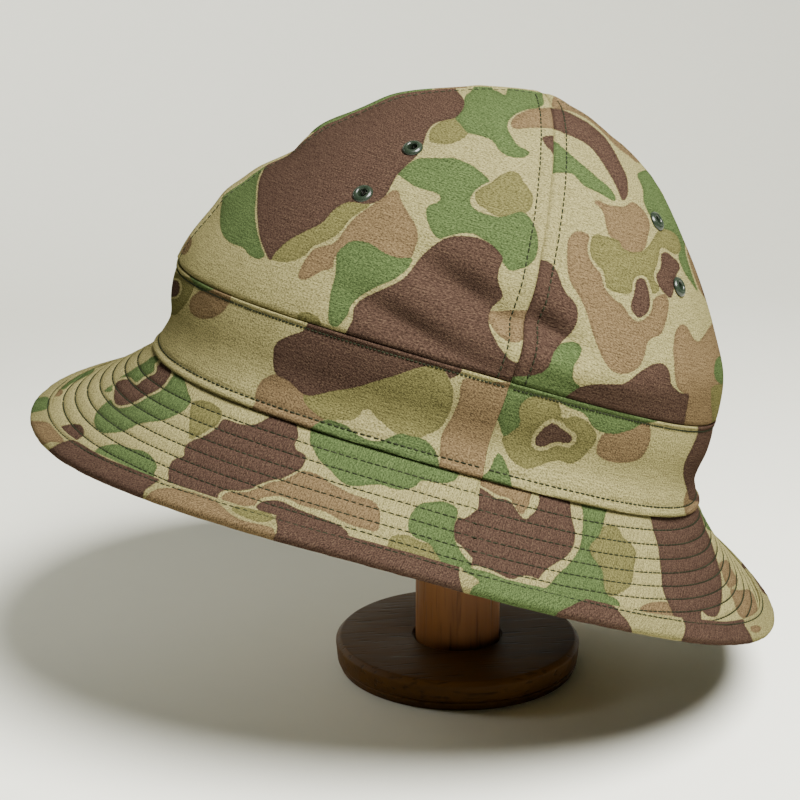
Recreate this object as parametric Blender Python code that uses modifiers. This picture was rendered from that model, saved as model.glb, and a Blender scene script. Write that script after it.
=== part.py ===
"""A soft four-gore safari hat tipped back on a plain turned wooden stand, in metres."""
import math
from collections import namedtuple

import bmesh
import bpy
from mathutils import Matrix, Vector

MM = 0.001

# The hat is shaped in its own frame: +Z runs up out of the crown, -Y to the front,
# +X to the wearer's left. An angle round the hat is 0 at the front and 90 at the wearer's left.

# Crown cloth at its foot, where it joins the brim
FOOT_FRONT = 101.1 * MM
FOOT_BACK = 99.6 * MM
FOOT_SIDE = 88.3 * MM
FOOT_SIDE_LIFT = 7.8 * MM
FOOT_BACK_LIFT = 2.0 * MM
FOOT_TWIST = 1.7 * MM

# Crown cloth at the top of the band, and the dome above it
CROWN_FRONT = 102.1 * MM
CROWN_BACK = 91.6 * MM
CROWN_SIDE = 84.5 * MM
CROWN_HEIGHT = 121.5 * MM
TOP_SETBACK = 0.7 * MM
FULLNESS_FRONT = 1.62
FULLNESS_SIDE = 1.69
FULLNESS_BACK = 1.76
TIP_RADIUS = 1.2 * MM

# Band round the foot of the crown
BAND_HEIGHT = 31.0 * MM
BAND_WAIST = 1.2 * MM
BAND_ROLL = 0.8 * MM
BAND_LIP = 0.4 * MM
ROLL_SHARE = 0.10
LIP_SHARE = 0.93

# Brim, measured out and down from the foot of the crown to its bound edge
BRIM_FLARE_FRONT = 35.9 * MM
BRIM_FLARE_BACK = 38.0 * MM
BRIM_FLARE_SIDE = 47.0 * MM
BRIM_DROP_FRONT = 35.2 * MM
BRIM_DROP_BACK = 29.1 * MM
BRIM_DROP_SIDE = 23.2 * MM
BRIM_TWIST = 2.7 * MM
BRIM_BELL = 0.22
BINDING_WIDTH = 10.5 * MM
BINDING_ROUNDING = 0.6 * MM

# Cloth thicknesses, and the clearance between pieces that touch
CROWN_CLOTH = 1.2 * MM
BAND_CLOTH = 1.6 * MM
BRIM_CLOTH = 2.2 * MM
BINDING_CLOTH = 0.9 * MM
CLEARANCE = 0.3 * MM

# Eyelets, a pair on the middle line of each gore. The rim rises from the bore to its crest,
# slopes to its shoulder and drops to the flange's edge; shares run from the bore to that edge.
EYELET_FLANGE_RADIUS = 3.5 * MM
EYELET_BORE_RADIUS = 1.5 * MM
EYELET_WALL = 0.7 * MM
EYELET_DOME = 0.9 * MM
EYELET_MOUTH_HEIGHT = 0.63 * MM
EYELET_CREST_SHARE = 0.35
EYELET_SHOULDER_SHARE = 0.85
EYELET_SHOULDER_HEIGHT = 0.72 * MM
EYELET_EDGE_HEIGHT = 0.36 * MM
EYELET_BACK_GAP = 0.48 * MM
EYELET_BACK_SHARE = 0.825
EYELET_BACK_EDGE_SHARE = 0.74
CUTTER_DEPTH = 9.6 * MM
EYELET_UPPER_SHARE = 0.69
EYELET_LOWER_SHARE = 0.49

# Stand, upright about the world's Z axis with its underside at height zero
BASE_RADIUS = 45.0 * MM
BASE_FOOT_RADIUS = 43.2 * MM
BASE_HEIGHT = 11.3 * MM
BASE_CHAMFER = 1.7 * MM
BASE_GROOVE_HEIGHT = 3.4 * MM
BASE_GROOVE_DEPTH = 0.9 * MM
BASE_GROOVE_WIDTH = 0.8 * MM
BASE_GROOVE_SHARE = 0.7
POST_RADIUS = 15.5 * MM
POST_RING_GAP = 1.0 * MM
BASE_SOCKET_DEPTH = 4.0 * MM
HEAD_RADIUS = 58.0 * MM
HEAD_SKIRT = 22.0 * MM
HEAD_EDGE = 4.0 * MM
HEAD_SOCKET_DEPTH = 12.0 * MM

# Pose of the hat on the stand
HAT_TILT = 18.05
HAT_SETBACK = -9.4 * MM
HAT_FOOT_HEIGHT = 94.5 * MM

# Facets, and the small step in degrees, or share of a width, that measures a surface's slope
STEPS_PER_QUARTER = 16
DOME_ROWS = 11
HEAD_ROWS = 9
HEAD_STEPS = 32
POST_STEPS = 32
BASE_STEPS = 40
EYELET_STEPS = 12
SMALL_STEP = 0.01
WALL_SHARES = (0.0, 0.5, 1.0)
BAND_SHARES = (0.0, ROLL_SHARE, 0.5, LIP_SHARE, 1.0)
BRIM_ROWS = 4

# Folds and dents of the soft crown. Heights are shares of the dome, pushes are shares of
# CROWN_HEIGHT and point outwards, lean is how far a fold climbs for each degree round the hat.
Fold = namedtuple("Fold", "name angle height half_angle half_height lean push")
FOLDS = (
    Fold("front_dent", 350, 0.49, 13, 0.055, 0.000, -0.030),
    Fold("front_puff", 352, 0.64, 20, 0.090, 0.000, 0.010),
    Fold("back_shoulder", 174, 0.88, 42, 0.150, 0.000, 0.013),
    Fold("back_hollow", 166, 0.42, 40, 0.160, 0.000, -0.012),
    Fold("left_drag_upper", 74, 0.30, 10, 0.050, 0.010, -0.008),
    Fold("left_drag_lower", 80, 0.16, 9, 0.040, 0.008, -0.007),
    Fold("seam_pucker", 97, 0.14, 5, 0.050, 0.000, -0.007),
    Fold("right_front_dent", 296, 0.56, 15, 0.070, -0.003, -0.014),
    Fold("right_back_drag", 236, 0.30, 14, 0.060, -0.006, -0.010),
)
FOLD_START = 0.08

GORES = (("front_left", 0), ("back_left", 90), ("back_right", 180), ("front_right", 270))


def clear_scene():
    for item in list(bpy.data.objects):
        bpy.data.objects.remove(item, do_unlink=True)


def new_collection(name):
    group = bpy.data.collections.new(name)
    bpy.context.scene.collection.children.link(group)
    return group


def plain_material(name, colour, roughness, metallic=0.0):
    material = bpy.data.materials.new(name)
    material.use_nodes = True
    shader = material.node_tree.nodes["Principled BSDF"]
    shader.inputs["Base Color"].default_value = (*colour, 1.0)
    shader.inputs["Roughness"].default_value = roughness
    shader.inputs["Metallic"].default_value = metallic
    material.diffuse_color = (*colour, 1.0)
    return material


def blend(first, last, share):
    return first + (last - first) * share


def round_the_hat(angle, front, side, back):
    """A value that is front at 0, side at 90 and 270, and back at 180 degrees."""
    cosine = math.cos(math.radians(angle))
    along = front if cosine > 0 else back
    return along * cosine ** 2 + side * (1 - cosine ** 2)


def oval(angle, front, side, back):
    """A point of an egg-shaped ring that reaches front, side and back from the hat's axis."""
    cosine = math.cos(math.radians(angle))
    sine = math.sin(math.radians(angle))
    reach = (front + back) / 2 + (front - back) / 2 * cosine
    return Vector((side * sine, -reach * cosine, 0.0))


def foot_level(angle):
    cosine = math.cos(math.radians(angle))
    sine = math.sin(math.radians(angle))
    return FOOT_SIDE_LIFT * sine ** 2 - FOOT_BACK_LIFT * cosine + FOOT_TWIST * sine * cosine


def fold_push(angle, height):
    """How far the folds push the dome's cloth outwards at an angle and a height share."""
    total = 0.0
    for fold in FOLDS:
        turn = (angle - fold.angle + 180) % 360 - 180
        rise = height - fold.height - fold.lean * turn
        total += fold.push * math.exp(-(turn / fold.half_angle) ** 2 - (rise / fold.half_height) ** 2)
    start = min(height / FOLD_START, 1.0)
    return total * CROWN_HEIGHT * start


def wall_point(angle, share):
    """The crown cloth's outer face inside the band, from its foot at 0 to the band's top at 1."""
    foot = oval(angle, FOOT_FRONT, FOOT_SIDE, FOOT_BACK)
    top = oval(angle, CROWN_FRONT, CROWN_SIDE, CROWN_BACK)
    point = foot.lerp(top, share)
    waist = BAND_WAIST * (1 - abs(2 * share - 1))
    point -= point.normalized() * waist
    point.z = foot_level(angle) + BAND_HEIGHT * share
    return point


def dome_point(angle, lift):
    """The crown cloth's outer face above the band; lift runs from 0 to 90 degrees at the tip."""
    fullness = round_the_hat(angle, FULLNESS_FRONT, FULLNESS_SIDE, FULLNESS_BACK)
    height = math.sin(math.radians(lift)) ** (2 / fullness)
    width = math.cos(math.radians(lift)) ** (2 / fullness)
    ring = oval(angle, CROWN_FRONT, CROWN_SIDE, CROWN_BACK)
    point = ring * width
    point.y += TOP_SETBACK * height
    start = foot_level(angle) + BAND_HEIGHT
    point.z = blend(start, CROWN_HEIGHT, height)
    outwards = ring.normalized() * width + Vector((0, 0, height))
    return point + outwards.normalized() * fold_push(angle, height)


def surface_normal(surface, angle, along, outer):
    """Unit normal of surface(angle, along) by small steps, pointing to the side of outer."""
    across = surface(angle + SMALL_STEP, along) - surface(angle - SMALL_STEP, along)
    up = surface(angle, along + SMALL_STEP) - surface(angle, along - SMALL_STEP)
    normal = across.cross(up).normalized()
    return normal if normal.dot(outer) > 0 else -normal


def band_point(angle, share):
    """The band's outer face, with a rolled foot and a thin raised lip at the top."""
    inner = wall_point(angle, share)
    inside = min(max(share, SMALL_STEP), 1 - SMALL_STEP)
    normal = surface_normal(wall_point, angle, inside, oval(angle, 1, 1, 1))
    relief = 0.0
    if share == 0.0:
        relief = BAND_ROLL
    if share == 1.0:
        relief = BAND_LIP
    return inner + normal * (CLEARANCE + BAND_CLOTH + relief)


def brim_root(angle):
    """Where the brim's upper face starts, just outside and below the crown's foot."""
    foot = wall_point(angle, 0)
    flat = Vector((foot.x, foot.y, 0)).normalized()
    return foot + flat * CLEARANCE - Vector((0, 0, CLEARANCE))


def brim_edge(angle):
    """The outermost line of the bound edge."""
    edge = oval(
        angle,
        FOOT_FRONT + BRIM_FLARE_FRONT,
        FOOT_SIDE + BRIM_FLARE_SIDE,
        FOOT_BACK + BRIM_FLARE_BACK,
    )
    turn = math.sin(math.radians(angle)) * math.cos(math.radians(angle))
    drop = round_the_hat(angle, BRIM_DROP_FRONT, BRIM_DROP_SIDE, BRIM_DROP_BACK)
    edge.z = foot_level(angle) - drop + (BRIM_TWIST - FOOT_TWIST) * turn
    return edge


def brim_point(angle, share):
    """The brim's upper face: steeper at its root and edge than in the middle."""
    root = brim_root(angle)
    edge = brim_edge(angle)
    point = root.lerp(edge, share)
    fall = share + BRIM_BELL * math.sin(2 * math.pi * share) / (2 * math.pi)
    point.z = blend(root.z, edge.z, fall)
    return point


def brim_width(angle):
    return (brim_edge(angle) - brim_root(angle)).length


def binding_start(angle):
    return 1 - BINDING_WIDTH / brim_width(angle)


def brim_section(angle):
    """Points across the brim, with one straight stretch under the binding."""
    start = binding_start(angle)
    points = [brim_point(angle, start * row / BRIM_ROWS) for row in range(BRIM_ROWS + 1)]
    inner = points[-1]
    edge = brim_edge(angle)
    along = (edge - inner).normalized()
    points.append(edge - along * (CLEARANCE + BINDING_CLOTH))
    return points


def binding_section(angle):
    """The binding's outer face, wrapped from the brim's upper face round to its lower face."""
    inner, edge = brim_section(angle)[-2:]
    along = (edge - inner).normalized()
    round_edge = brim_edge(angle + SMALL_STEP) - brim_edge(angle - SMALL_STEP)
    up = along.cross(round_edge).normalized()
    lift = CLEARANCE + BINDING_CLOTH
    corner = lift - BINDING_ROUNDING
    below = BRIM_CLOTH + lift
    return [
        inner + up * lift,
        edge + along * corner + up * lift,
        edge + along * lift + up * corner,
        edge + along * lift - up * (BRIM_CLOTH + corner),
        edge + along * corner - up * below,
        inner - up * below,
    ]


def inset_from_seams(point, angle, start, span):
    """Draws a panel's point half a clearance back from the seam at each end of the panel."""
    share = (angle - start) / span
    first = math.radians(start)
    last = math.radians(start + span)
    from_first = Vector((math.cos(first), math.sin(first), 0))
    from_last = Vector((-math.cos(last), -math.sin(last), 0))
    return point + (from_first * (1 - share) + from_last * share) * CLEARANCE / 2


def dome_lifts():
    """Lift angles of the dome's rows above the band, up to the small open tip."""
    narrowest = min(FULLNESS_FRONT, FULLNESS_BACK)
    tip = math.degrees(math.acos((TIP_RADIUS / CROWN_SIDE) ** (narrowest / 2)))
    return [tip * (row + 1) / DOME_ROWS for row in range(DOME_ROWS)]


def grid_object(name, columns, closed, facing_up, thickness, material, group):
    """A sheet through columns of points, given its thickness below or inside that sheet."""
    shape = bmesh.new()
    rows = [[shape.verts.new(point) for point in column] for column in columns]
    pairs = list(zip(rows, rows[1:]))
    if closed:
        pairs.append((rows[-1], rows[0]))
    for left, right in pairs:
        for index in range(len(left) - 1):
            corners = [left[index], right[index], right[index + 1], left[index + 1]]
            if facing_up:
                corners.reverse()
            shape.faces.new(corners)
    mesh = bpy.data.meshes.new(name)
    shape.to_mesh(mesh)
    shape.free()
    mesh.shade_smooth()
    mesh.materials.append(material)
    item = bpy.data.objects.new(name, mesh)
    group.objects.link(item)
    wall = item.modifiers.new("cloth_thickness", "SOLIDIFY")
    wall.thickness = thickness
    wall.offset = -1.0
    wall.use_even_offset = True
    return item


def turned_object(name, profile, steps, material, group, closed_profile=False):
    """A profile in X and Z, listed from top to bottom of its outer side, turned about Z."""
    mesh = bpy.data.meshes.new(name)
    edges = [(index, index + 1) for index in range(len(profile) - 1)]
    if closed_profile:
        edges.append((len(profile) - 1, 0))
    mesh.from_pydata([(x, 0.0, z) for x, z in profile], edges, [])
    mesh.materials.append(material)
    item = bpy.data.objects.new(name, mesh)
    group.objects.link(item)
    turn = item.modifiers.new("turning", "SCREW")
    turn.steps = steps
    turn.render_steps = steps
    turn.use_merge_vertices = True
    turn.merge_threshold = 0.00001
    turn.use_smooth_shade = True
    return item


def gore_columns(start):
    columns = []
    for step in range(STEPS_PER_QUARTER + 1):
        angle = start + 90 * step / STEPS_PER_QUARTER
        points = [wall_point(angle, share) for share in WALL_SHARES]
        points += [dome_point(angle, lift) for lift in dome_lifts()]
        columns.append([inset_from_seams(point, angle, start, 90) for point in points])
    return columns


def make_crown(cloth, group, pose):
    gores = {}
    for place, start in GORES:
        name = "crown_gore_" + place
        gore = grid_object(name, gore_columns(start), False, False, CROWN_CLOTH, cloth, group)
        gore.parent = pose
        gores[place] = gore
    return gores


def make_band(cloth, group, pose):
    columns = []
    for step in range(4 * STEPS_PER_QUARTER):
        angle = 90 * step / STEPS_PER_QUARTER
        columns.append([band_point(angle, share) for share in BAND_SHARES])
    band = grid_object("hat_band", columns, True, False, BAND_CLOTH, cloth, group)
    band.parent = pose


def make_brim(cloth, group, pose):
    for name, start in (("brim_front", -90), ("brim_back", 90)):
        columns = []
        for step in range(2 * STEPS_PER_QUARTER + 1):
            angle = start + 90 * step / STEPS_PER_QUARTER
            points = brim_section(angle)
            columns.append([inset_from_seams(point, angle, start, 180) for point in points])
        half = grid_object(name, columns, False, True, BRIM_CLOTH, cloth, group)
        half.parent = pose


def make_binding(cloth, group, pose):
    columns = []
    for step in range(4 * STEPS_PER_QUARTER):
        columns.append(binding_section(90 * step / STEPS_PER_QUARTER))
    binding = grid_object("brim_binding", columns, True, True, BINDING_CLOTH, cloth, group)
    binding.parent = pose


def rim_radius(share):
    return blend(EYELET_BORE_RADIUS, EYELET_FLANGE_RADIUS, share)


def eyelet_profile():
    """Section of a clinched eyelet whose cloth's outer face lies at height zero."""
    barrel = EYELET_BORE_RADIUS + EYELET_WALL
    inside = -CROWN_CLOTH - EYELET_BACK_GAP
    return [
        (EYELET_BORE_RADIUS, EYELET_MOUTH_HEIGHT),
        (rim_radius(EYELET_CREST_SHARE), CLEARANCE + EYELET_DOME),
        (rim_radius(EYELET_SHOULDER_SHARE), CLEARANCE + EYELET_SHOULDER_HEIGHT),
        (EYELET_FLANGE_RADIUS, EYELET_EDGE_HEIGHT),
        (barrel, CLEARANCE),
        (barrel, inside),
        (rim_radius(EYELET_BACK_SHARE), inside),
        (rim_radius(EYELET_BACK_EDGE_SHARE), inside - EYELET_WALL),
        (EYELET_BORE_RADIUS, inside - EYELET_WALL),
    ]


def eyelet_matrix(angle, height):
    """Placement with Z along the cloth's outward normal at a height share of the dome."""
    fullness = round_the_hat(angle, FULLNESS_FRONT, FULLNESS_SIDE, FULLNESS_BACK)
    lift = math.degrees(math.asin(height ** (fullness / 2)))
    point = dome_point(angle, lift)
    normal = surface_normal(dome_point, angle, lift, oval(angle, 1, 1, 1) + Vector((0, 0, 1)))
    turn = normal.to_track_quat("Z", "Y").to_matrix().to_4x4()
    return Matrix.Translation(point) @ turn


def cut_hole(gore, name, placement, group, pose):
    radius = EYELET_BORE_RADIUS + EYELET_WALL + CLEARANCE
    bpy.ops.mesh.primitive_cylinder_add(vertices=EYELET_STEPS, radius=radius, depth=CUTTER_DEPTH)
    cutter = bpy.context.object
    cutter.name = name
    for owner in list(cutter.users_collection):
        owner.objects.unlink(cutter)
    group.objects.link(cutter)
    cutter.parent = pose
    cutter.matrix_local = placement
    cutter.hide_render = True
    cutter.display_type = "WIRE"
    hole = gore.modifiers.new(name, "BOOLEAN")
    hole.operation = "DIFFERENCE"
    hole.solver = "EXACT"
    hole.object = cutter


def make_eyelets(gores, metal, group, cutters, pose):
    rows = (("upper", EYELET_UPPER_SHARE), ("lower", EYELET_LOWER_SHARE))
    for place, start in GORES:
        for level, height in rows:
            name = "eyelet_" + place + "_" + level
            placement = eyelet_matrix(start + 45, height)
            eyelet = turned_object(name, eyelet_profile(), EYELET_STEPS, metal, group, closed_profile=True)
            eyelet.parent = pose
            eyelet.matrix_local = placement
            cut_hole(gores[place], "hole_" + place + "_" + level, placement, cutters, pose)


def hat_matrix():
    place = Matrix.Translation((0, HAT_SETBACK, HAT_FOOT_HEIGHT))
    return place @ Matrix.Rotation(math.radians(-HAT_TILT), 4, "X")


def head_centre_height():
    """The greatest height at which the round head stays clear inside the tilted crown."""
    reach = HEAD_RADIUS + CLEARANCE
    pose = hat_matrix()
    lowest = math.inf
    for column in range(0, 360, 5):
        for lift in dome_lifts():
            point = dome_point(column, lift)
            up = oval(column, 1, 1, 1) + Vector((0, 0, 1))
            point -= surface_normal(dome_point, column, lift, up) * CROWN_CLOTH
            place = pose @ point
            sideways = math.hypot(place.x, place.y)
            if sideways < reach:
                lowest = min(lowest, place.z - math.sqrt(reach ** 2 - sideways ** 2))
    return lowest


def make_stand(dark_wood, honey_wood, plain_wood, group):
    socket = POST_RADIUS + POST_RING_GAP
    groove = blend(BASE_FOOT_RADIUS, BASE_RADIUS, BASE_GROOVE_SHARE)
    groove_top = BASE_GROOVE_HEIGHT + BASE_GROOVE_WIDTH / 2
    groove_foot = BASE_GROOVE_HEIGHT - BASE_GROOVE_WIDTH / 2
    base = [
        (0.0, BASE_HEIGHT - BASE_SOCKET_DEPTH),
        (socket, BASE_HEIGHT - BASE_SOCKET_DEPTH),
        (socket, BASE_HEIGHT),
        (BASE_RADIUS - BASE_CHAMFER, BASE_HEIGHT),
        (BASE_RADIUS, BASE_HEIGHT - BASE_CHAMFER),
        (groove, groove_top),
        (groove - BASE_GROOVE_DEPTH, BASE_GROOVE_HEIGHT),
        (groove, groove_foot),
        (BASE_FOOT_RADIUS, 0.0),
        (0.0, 0.0),
    ]
    turned_object("stand_base", base, BASE_STEPS, dark_wood, group)

    centre = head_centre_height()
    head_socket = POST_RADIUS + CLEARANCE
    skirt_angle = math.asin(HEAD_SKIRT / HEAD_RADIUS)
    head = []
    for row in range(HEAD_ROWS + 1):
        turn = blend(math.pi / 2, -skirt_angle, row / HEAD_ROWS)
        head.append((max(HEAD_RADIUS * math.cos(turn), 0.0), HEAD_RADIUS * math.sin(turn)))
    head[0] = (0.0, HEAD_RADIUS)
    foot = head[-1]
    head.append((foot[0] - HEAD_EDGE, foot[1] - HEAD_EDGE))
    head.append((head_socket, foot[1] - HEAD_EDGE))
    head.append((head_socket, foot[1] - HEAD_EDGE + HEAD_SOCKET_DEPTH))
    head.append((0.0, foot[1] - HEAD_EDGE + HEAD_SOCKET_DEPTH))
    block = turned_object("stand_head", head, HEAD_STEPS, plain_wood, group)
    block.location.z = centre

    post_foot = BASE_HEIGHT - BASE_SOCKET_DEPTH + CLEARANCE
    post_top = centre + foot[1] - HEAD_EDGE + HEAD_SOCKET_DEPTH - CLEARANCE
    bpy.ops.mesh.primitive_cylinder_add(
        vertices=POST_STEPS, radius=POST_RADIUS, depth=post_top - post_foot,
        location=(0, 0, (post_top + post_foot) / 2),
    )
    post = bpy.context.object
    post.name = "stand_post"
    post.data.materials.append(honey_wood)
    post.data.shade_smooth()
    post.data.set_sharp_from_angle(angle=math.radians(40))
    for owner in list(post.users_collection):
        owner.objects.unlink(post)
    group.objects.link(post)


def main():
    clear_scene()
    group = new_collection("safari_hat_on_wooden_stand")
    cutters = new_collection("cutters")
    pose = bpy.data.objects.new("hat_pose", None)
    group.objects.link(pose)
    pose.matrix_world = hat_matrix()

    gores = make_crown(plain_material("crown_cotton", (0.30, 0.27, 0.15), 0.9), group, pose)
    make_band(plain_material("band_cotton", (0.36, 0.31, 0.18), 0.9), group, pose)
    make_brim(plain_material("brim_cotton", (0.27, 0.28, 0.15), 0.9), group, pose)
    make_binding(plain_material("binding_cotton", (0.20, 0.12, 0.09), 0.9), group, pose)
    enamel = plain_material("eyelet_enamel", (0.04, 0.06, 0.05), 0.35, 0.6)
    make_eyelets(gores, enamel, group, cutters, pose)
    make_stand(
        plain_material("dark_stained_wood", (0.045, 0.025, 0.015), 0.45),
        plain_material("honey_wood", (0.22, 0.09, 0.025), 0.4),
        plain_material("plain_wood", (0.35, 0.22, 0.11), 0.6),
        group,
    )


main()
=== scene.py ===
"""The looks of the spotted safari hat and its wooden stand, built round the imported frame, in metres."""
import math
from collections import namedtuple

import bmesh
import bpy
import numpy as np
from mathutils import Matrix, Vector


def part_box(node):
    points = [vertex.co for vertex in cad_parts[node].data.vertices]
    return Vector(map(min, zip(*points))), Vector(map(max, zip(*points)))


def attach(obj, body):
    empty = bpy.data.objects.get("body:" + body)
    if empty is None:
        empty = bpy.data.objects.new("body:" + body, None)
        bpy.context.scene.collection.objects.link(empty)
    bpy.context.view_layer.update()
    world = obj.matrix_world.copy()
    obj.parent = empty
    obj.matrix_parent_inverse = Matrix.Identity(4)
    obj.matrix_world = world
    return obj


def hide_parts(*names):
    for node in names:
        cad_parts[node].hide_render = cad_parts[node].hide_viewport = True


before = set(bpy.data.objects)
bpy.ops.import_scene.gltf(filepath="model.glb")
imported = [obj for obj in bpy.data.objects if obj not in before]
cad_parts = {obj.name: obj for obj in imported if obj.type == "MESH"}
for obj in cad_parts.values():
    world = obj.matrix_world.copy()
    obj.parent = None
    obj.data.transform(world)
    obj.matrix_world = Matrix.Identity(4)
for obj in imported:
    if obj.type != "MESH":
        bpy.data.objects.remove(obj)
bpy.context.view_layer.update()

MM = 0.001

# The hat's own frame: +Z up out of the crown, -Y to the front, +X to the wearer's left.
# An angle round the hat is 0 at the front and 90 at the wearer's left, in degrees.

# Crown cloth at its foot, at the top of the band, and in the dome
FOOT_FRONT = 101.1 * MM
FOOT_BACK = 98.4 * MM
FOOT_SIDE = 88.3 * MM
FOOT_SIDE_LIFT = 7.8 * MM
FOOT_BACK_LIFT = 2.0 * MM
FOOT_TWIST = 1.7 * MM
CROWN_FRONT = 102.1 * MM
CROWN_BACK = 93.8 * MM
CROWN_SIDE = 84.5 * MM
CROWN_HEIGHT = 121.5 * MM
TOP_SETBACK = 0.7 * MM
FULLNESS_FRONT = 1.62
FULLNESS_SIDE = 1.69
FULLNESS_BACK = 1.585
TIP_LIFT = 89.2

# Band. It draws in all round, and further at the front, the sides and the back. Each of these
# hollows has its depth, the angle of its middle, the angle after which it repeats, the angle it
# spreads to each side, its height as a share of the band's and its spread below and above.
BAND_HEIGHT = 31.0 * MM
BAND_WAIST = 1.2 * MM
Hollow = namedtuple("Hollow", "depth angle period spread share below above")
HOLLOWS = (
    Hollow(2.9 * MM, 353, 360, 32, 0.33, 0.28, 0.28),
    Hollow(3.8 * MM, 90, 180, 50, 0.28, 0.17, 0.40),
    Hollow(3.8 * MM, 180, 360, 38, 0.26, 0.26, 0.26),
)

# Brim and binding
BRIM_FLARE_FRONT = 36.0 * MM
BRIM_FLARE_BACK = 40.2 * MM
BRIM_FLARE_SIDE = 44.2 * MM
BRIM_DROP_FRONT = 35.2 * MM
BRIM_DROP_BACK = 29.7 * MM
BRIM_DROP_SIDE = 22.2 * MM
BRIM_DROOP_RIGHT = 4.5 * MM
BRIM_TWIST = 2.7 * MM
BINDING_WIDTH = 8.4 * MM

# How the brim falls from its root to its edge, at the front, the sides and the back: the hollow
# is how far its middle sinks below a straight line and the bell how much its ends steepen
BRIM_HOLLOW = (0.066, 0.080, 0.112)
BRIM_BELL = (0.0, 0.0, 0.11)

# Cloth thicknesses and clearances
CROWN_CLOTH = 1.2 * MM
BAND_CLOTH = 1.6 * MM
BRIM_CLOTH = 1.7 * MM
CLEARANCE = 0.3 * MM

# Pose of the hat on the stand
HAT_TILT = 18.05
HAT_PLACE = (0.0, -9.4 * MM, 94.5 * MM)

# Sewing
SEAM_ROW_OFFSET = 3.9 * MM
SEAM_STITCH = 2.3 * MM
BRIM_STITCH = 2.4 * MM
BAND_STITCH = 2.2 * MM
LIP_STITCH = 1.35 * MM
STITCH_SHARE = 0.80
THREAD_RADIUS = 0.27 * MM
BINDING_ROW = 6.9 * MM
# A row of stitches takes its normals from the cloth just below and above it
ROW_NEIGHBOURS = np.array((-0.5, 0.0, 0.5)) * MM
# Rows on the band: the height of each, how far out from its face, and the pitch of its stitches
BAND_ROWS = ((2.0 * MM, -0.05 * MM, BAND_STITCH), (29.3 * MM, -1.16 * MM, LIP_STITCH))

# Rows of stitches on the brim, at the front, the sides and the back. Row 0 starts beside the
# binding at the sides; the rows below it come out of the binding towards the front and the back.
BRIM_ROW_START = (13.5 * MM, 7.0 * MM, 23.5 * MM)
BRIM_ROW_PITCH = (4.84 * MM, 5.97 * MM, 3.87 * MM)
BRIM_ROWS = range(-4, 7)
BINDING_CLEARANCE = 0.9 * MM
ROOT_CLEARANCE = 1.0 * MM

# Camera that took the photograph, and the photograph's size in pixels
CAMERA_AZIMUTH = 82.74
CAMERA_ELEVATION = 16.41
CAMERA_DISTANCE = 715.0 * MM
CAMERA_TARGET = np.array((-2.69, -21.08, 101.05)) * MM
CAMERA_LENS = 90.0
CAMERA_SENSOR = 36.0
PHOTO_PIXELS = 800

# How finely the cloth is meshed
GORE_COLUMNS = 105
WALL_ROWS = 8
DOME_ROWS = 131
BAND_COLUMNS = 500
BRIM_COLUMNS = 331
BINDING_COLUMNS = 640

# Print. The distance from each colour's edge is kept up to REACH, in millimetres. Cloth is in
# sight of the photograph while it faces it by more than LIMB_FACING. The chart is used up to
# UNROLLED_MARGIN past the last cloth in sight, a limit evened over LIMB_EVENING rows each way.
REACH = 6.0
PIXELS_PER_MM = 2.78
LIMB_FACING = 0.03
UNROLLED_MARGIN = 12.0 * MM
LIMB_EVENING = 9

# Folds and dents of the soft crown. Heights are shares of the dome, pushes are shares of
# CROWN_HEIGHT, and lean is how far a fold climbs for each degree.
Fold = namedtuple("Fold", "name angle height half_angle half_height lean push")
FOLDS = (
    Fold("front_dent", 350, 0.508, 13, 0.062, 0.000, -0.034),
    Fold("front_puff", 352, 0.64, 20, 0.090, 0.000, 0.010),
    Fold("front_shoulder", 352, 0.81, 26, 0.085, 0.000, 0.019),
    Fold("front_brow", 354, 0.29, 16, 0.050, 0.000, 0.008),
    Fold("back_shoulder", 174, 0.80, 42, 0.120, 0.000, 0.0145),
    Fold("left_drag_upper", 77, 0.276, 12, 0.066, -0.0045, -0.0480),
    Fold("left_drag_lower", 68, 0.098, 11, 0.056, -0.0040, -0.0290),
    Fold("seam_pucker", 86, 0.217, 5, 0.036, 0.0000, -0.0170),
    Fold("behind_seam_drag", 95, 0.232, 7, 0.055, -0.0065, -0.0420),
    Fold("seam_bulge", 104, 0.110, 20, 0.060, 0.0000, 0.0210),
    Fold("back_overhang", 132, 0.190, 30, 0.100, 0.000, 0.0250),
    Fold("right_front_dent", 296, 0.56, 15, 0.070, -0.003, -0.014),
    Fold("right_back_drag", 236, 0.30, 14, 0.060, -0.006, -0.010),
)
FOLD_START = 0.04

# Smooth noise of the soft cloth: how high it stands, and the size and seed of its lumps
Wave = namedtuple("Wave", "height size seed")
CROWN_WAVES = (Wave(0.45 * MM, 26 * MM, 4), Wave(0.16 * MM, 11 * MM, 5))
CROWN_PUCKERS = (Wave(0.30 * MM, 5.5 * MM, 3),)
CROWN_PUCKER_REACH = 8.0 * MM
BAND_WAVES = (Wave(0.45 * MM, 19 * MM, 8), Wave(0.14 * MM, 8 * MM, 9))
BAND_PUCKERS = (Wave(0.16 * MM, 3.4 * MM, 10),)
BAND_PUCKER_HEIGHT = 2.4 * MM
BAND_PUCKER_REACH = 2.0 * MM
BRIM_WAVES = (Wave(0.40 * MM, 34 * MM, 12), Wave(0.12 * MM, 10 * MM, 13))
BRIM_PUCKERS = (Wave(0.10 * MM, 3.2 * MM, 14),)
BINDING_RIPPLES = (Wave(0.12 * MM, 3.0 * MM, 15), Wave(0.22 * MM, 14 * MM, 16))

GORES = (("front_left", 0), ("back_left", 90), ("back_right", 180), ("front_right", 270))


def blend(first, last, share):
    return first + (last - first) * share


def sine(angle):
    return np.sin(np.radians(angle))


def cosine(angle):
    return np.cos(np.radians(angle))


def points(x, y, z):
    return np.stack(np.broadcast_arrays(x, y, z), axis=-1).astype(float)


def unit(vectors):
    return vectors / np.linalg.norm(vectors, axis=-1, keepdims=True)


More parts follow.
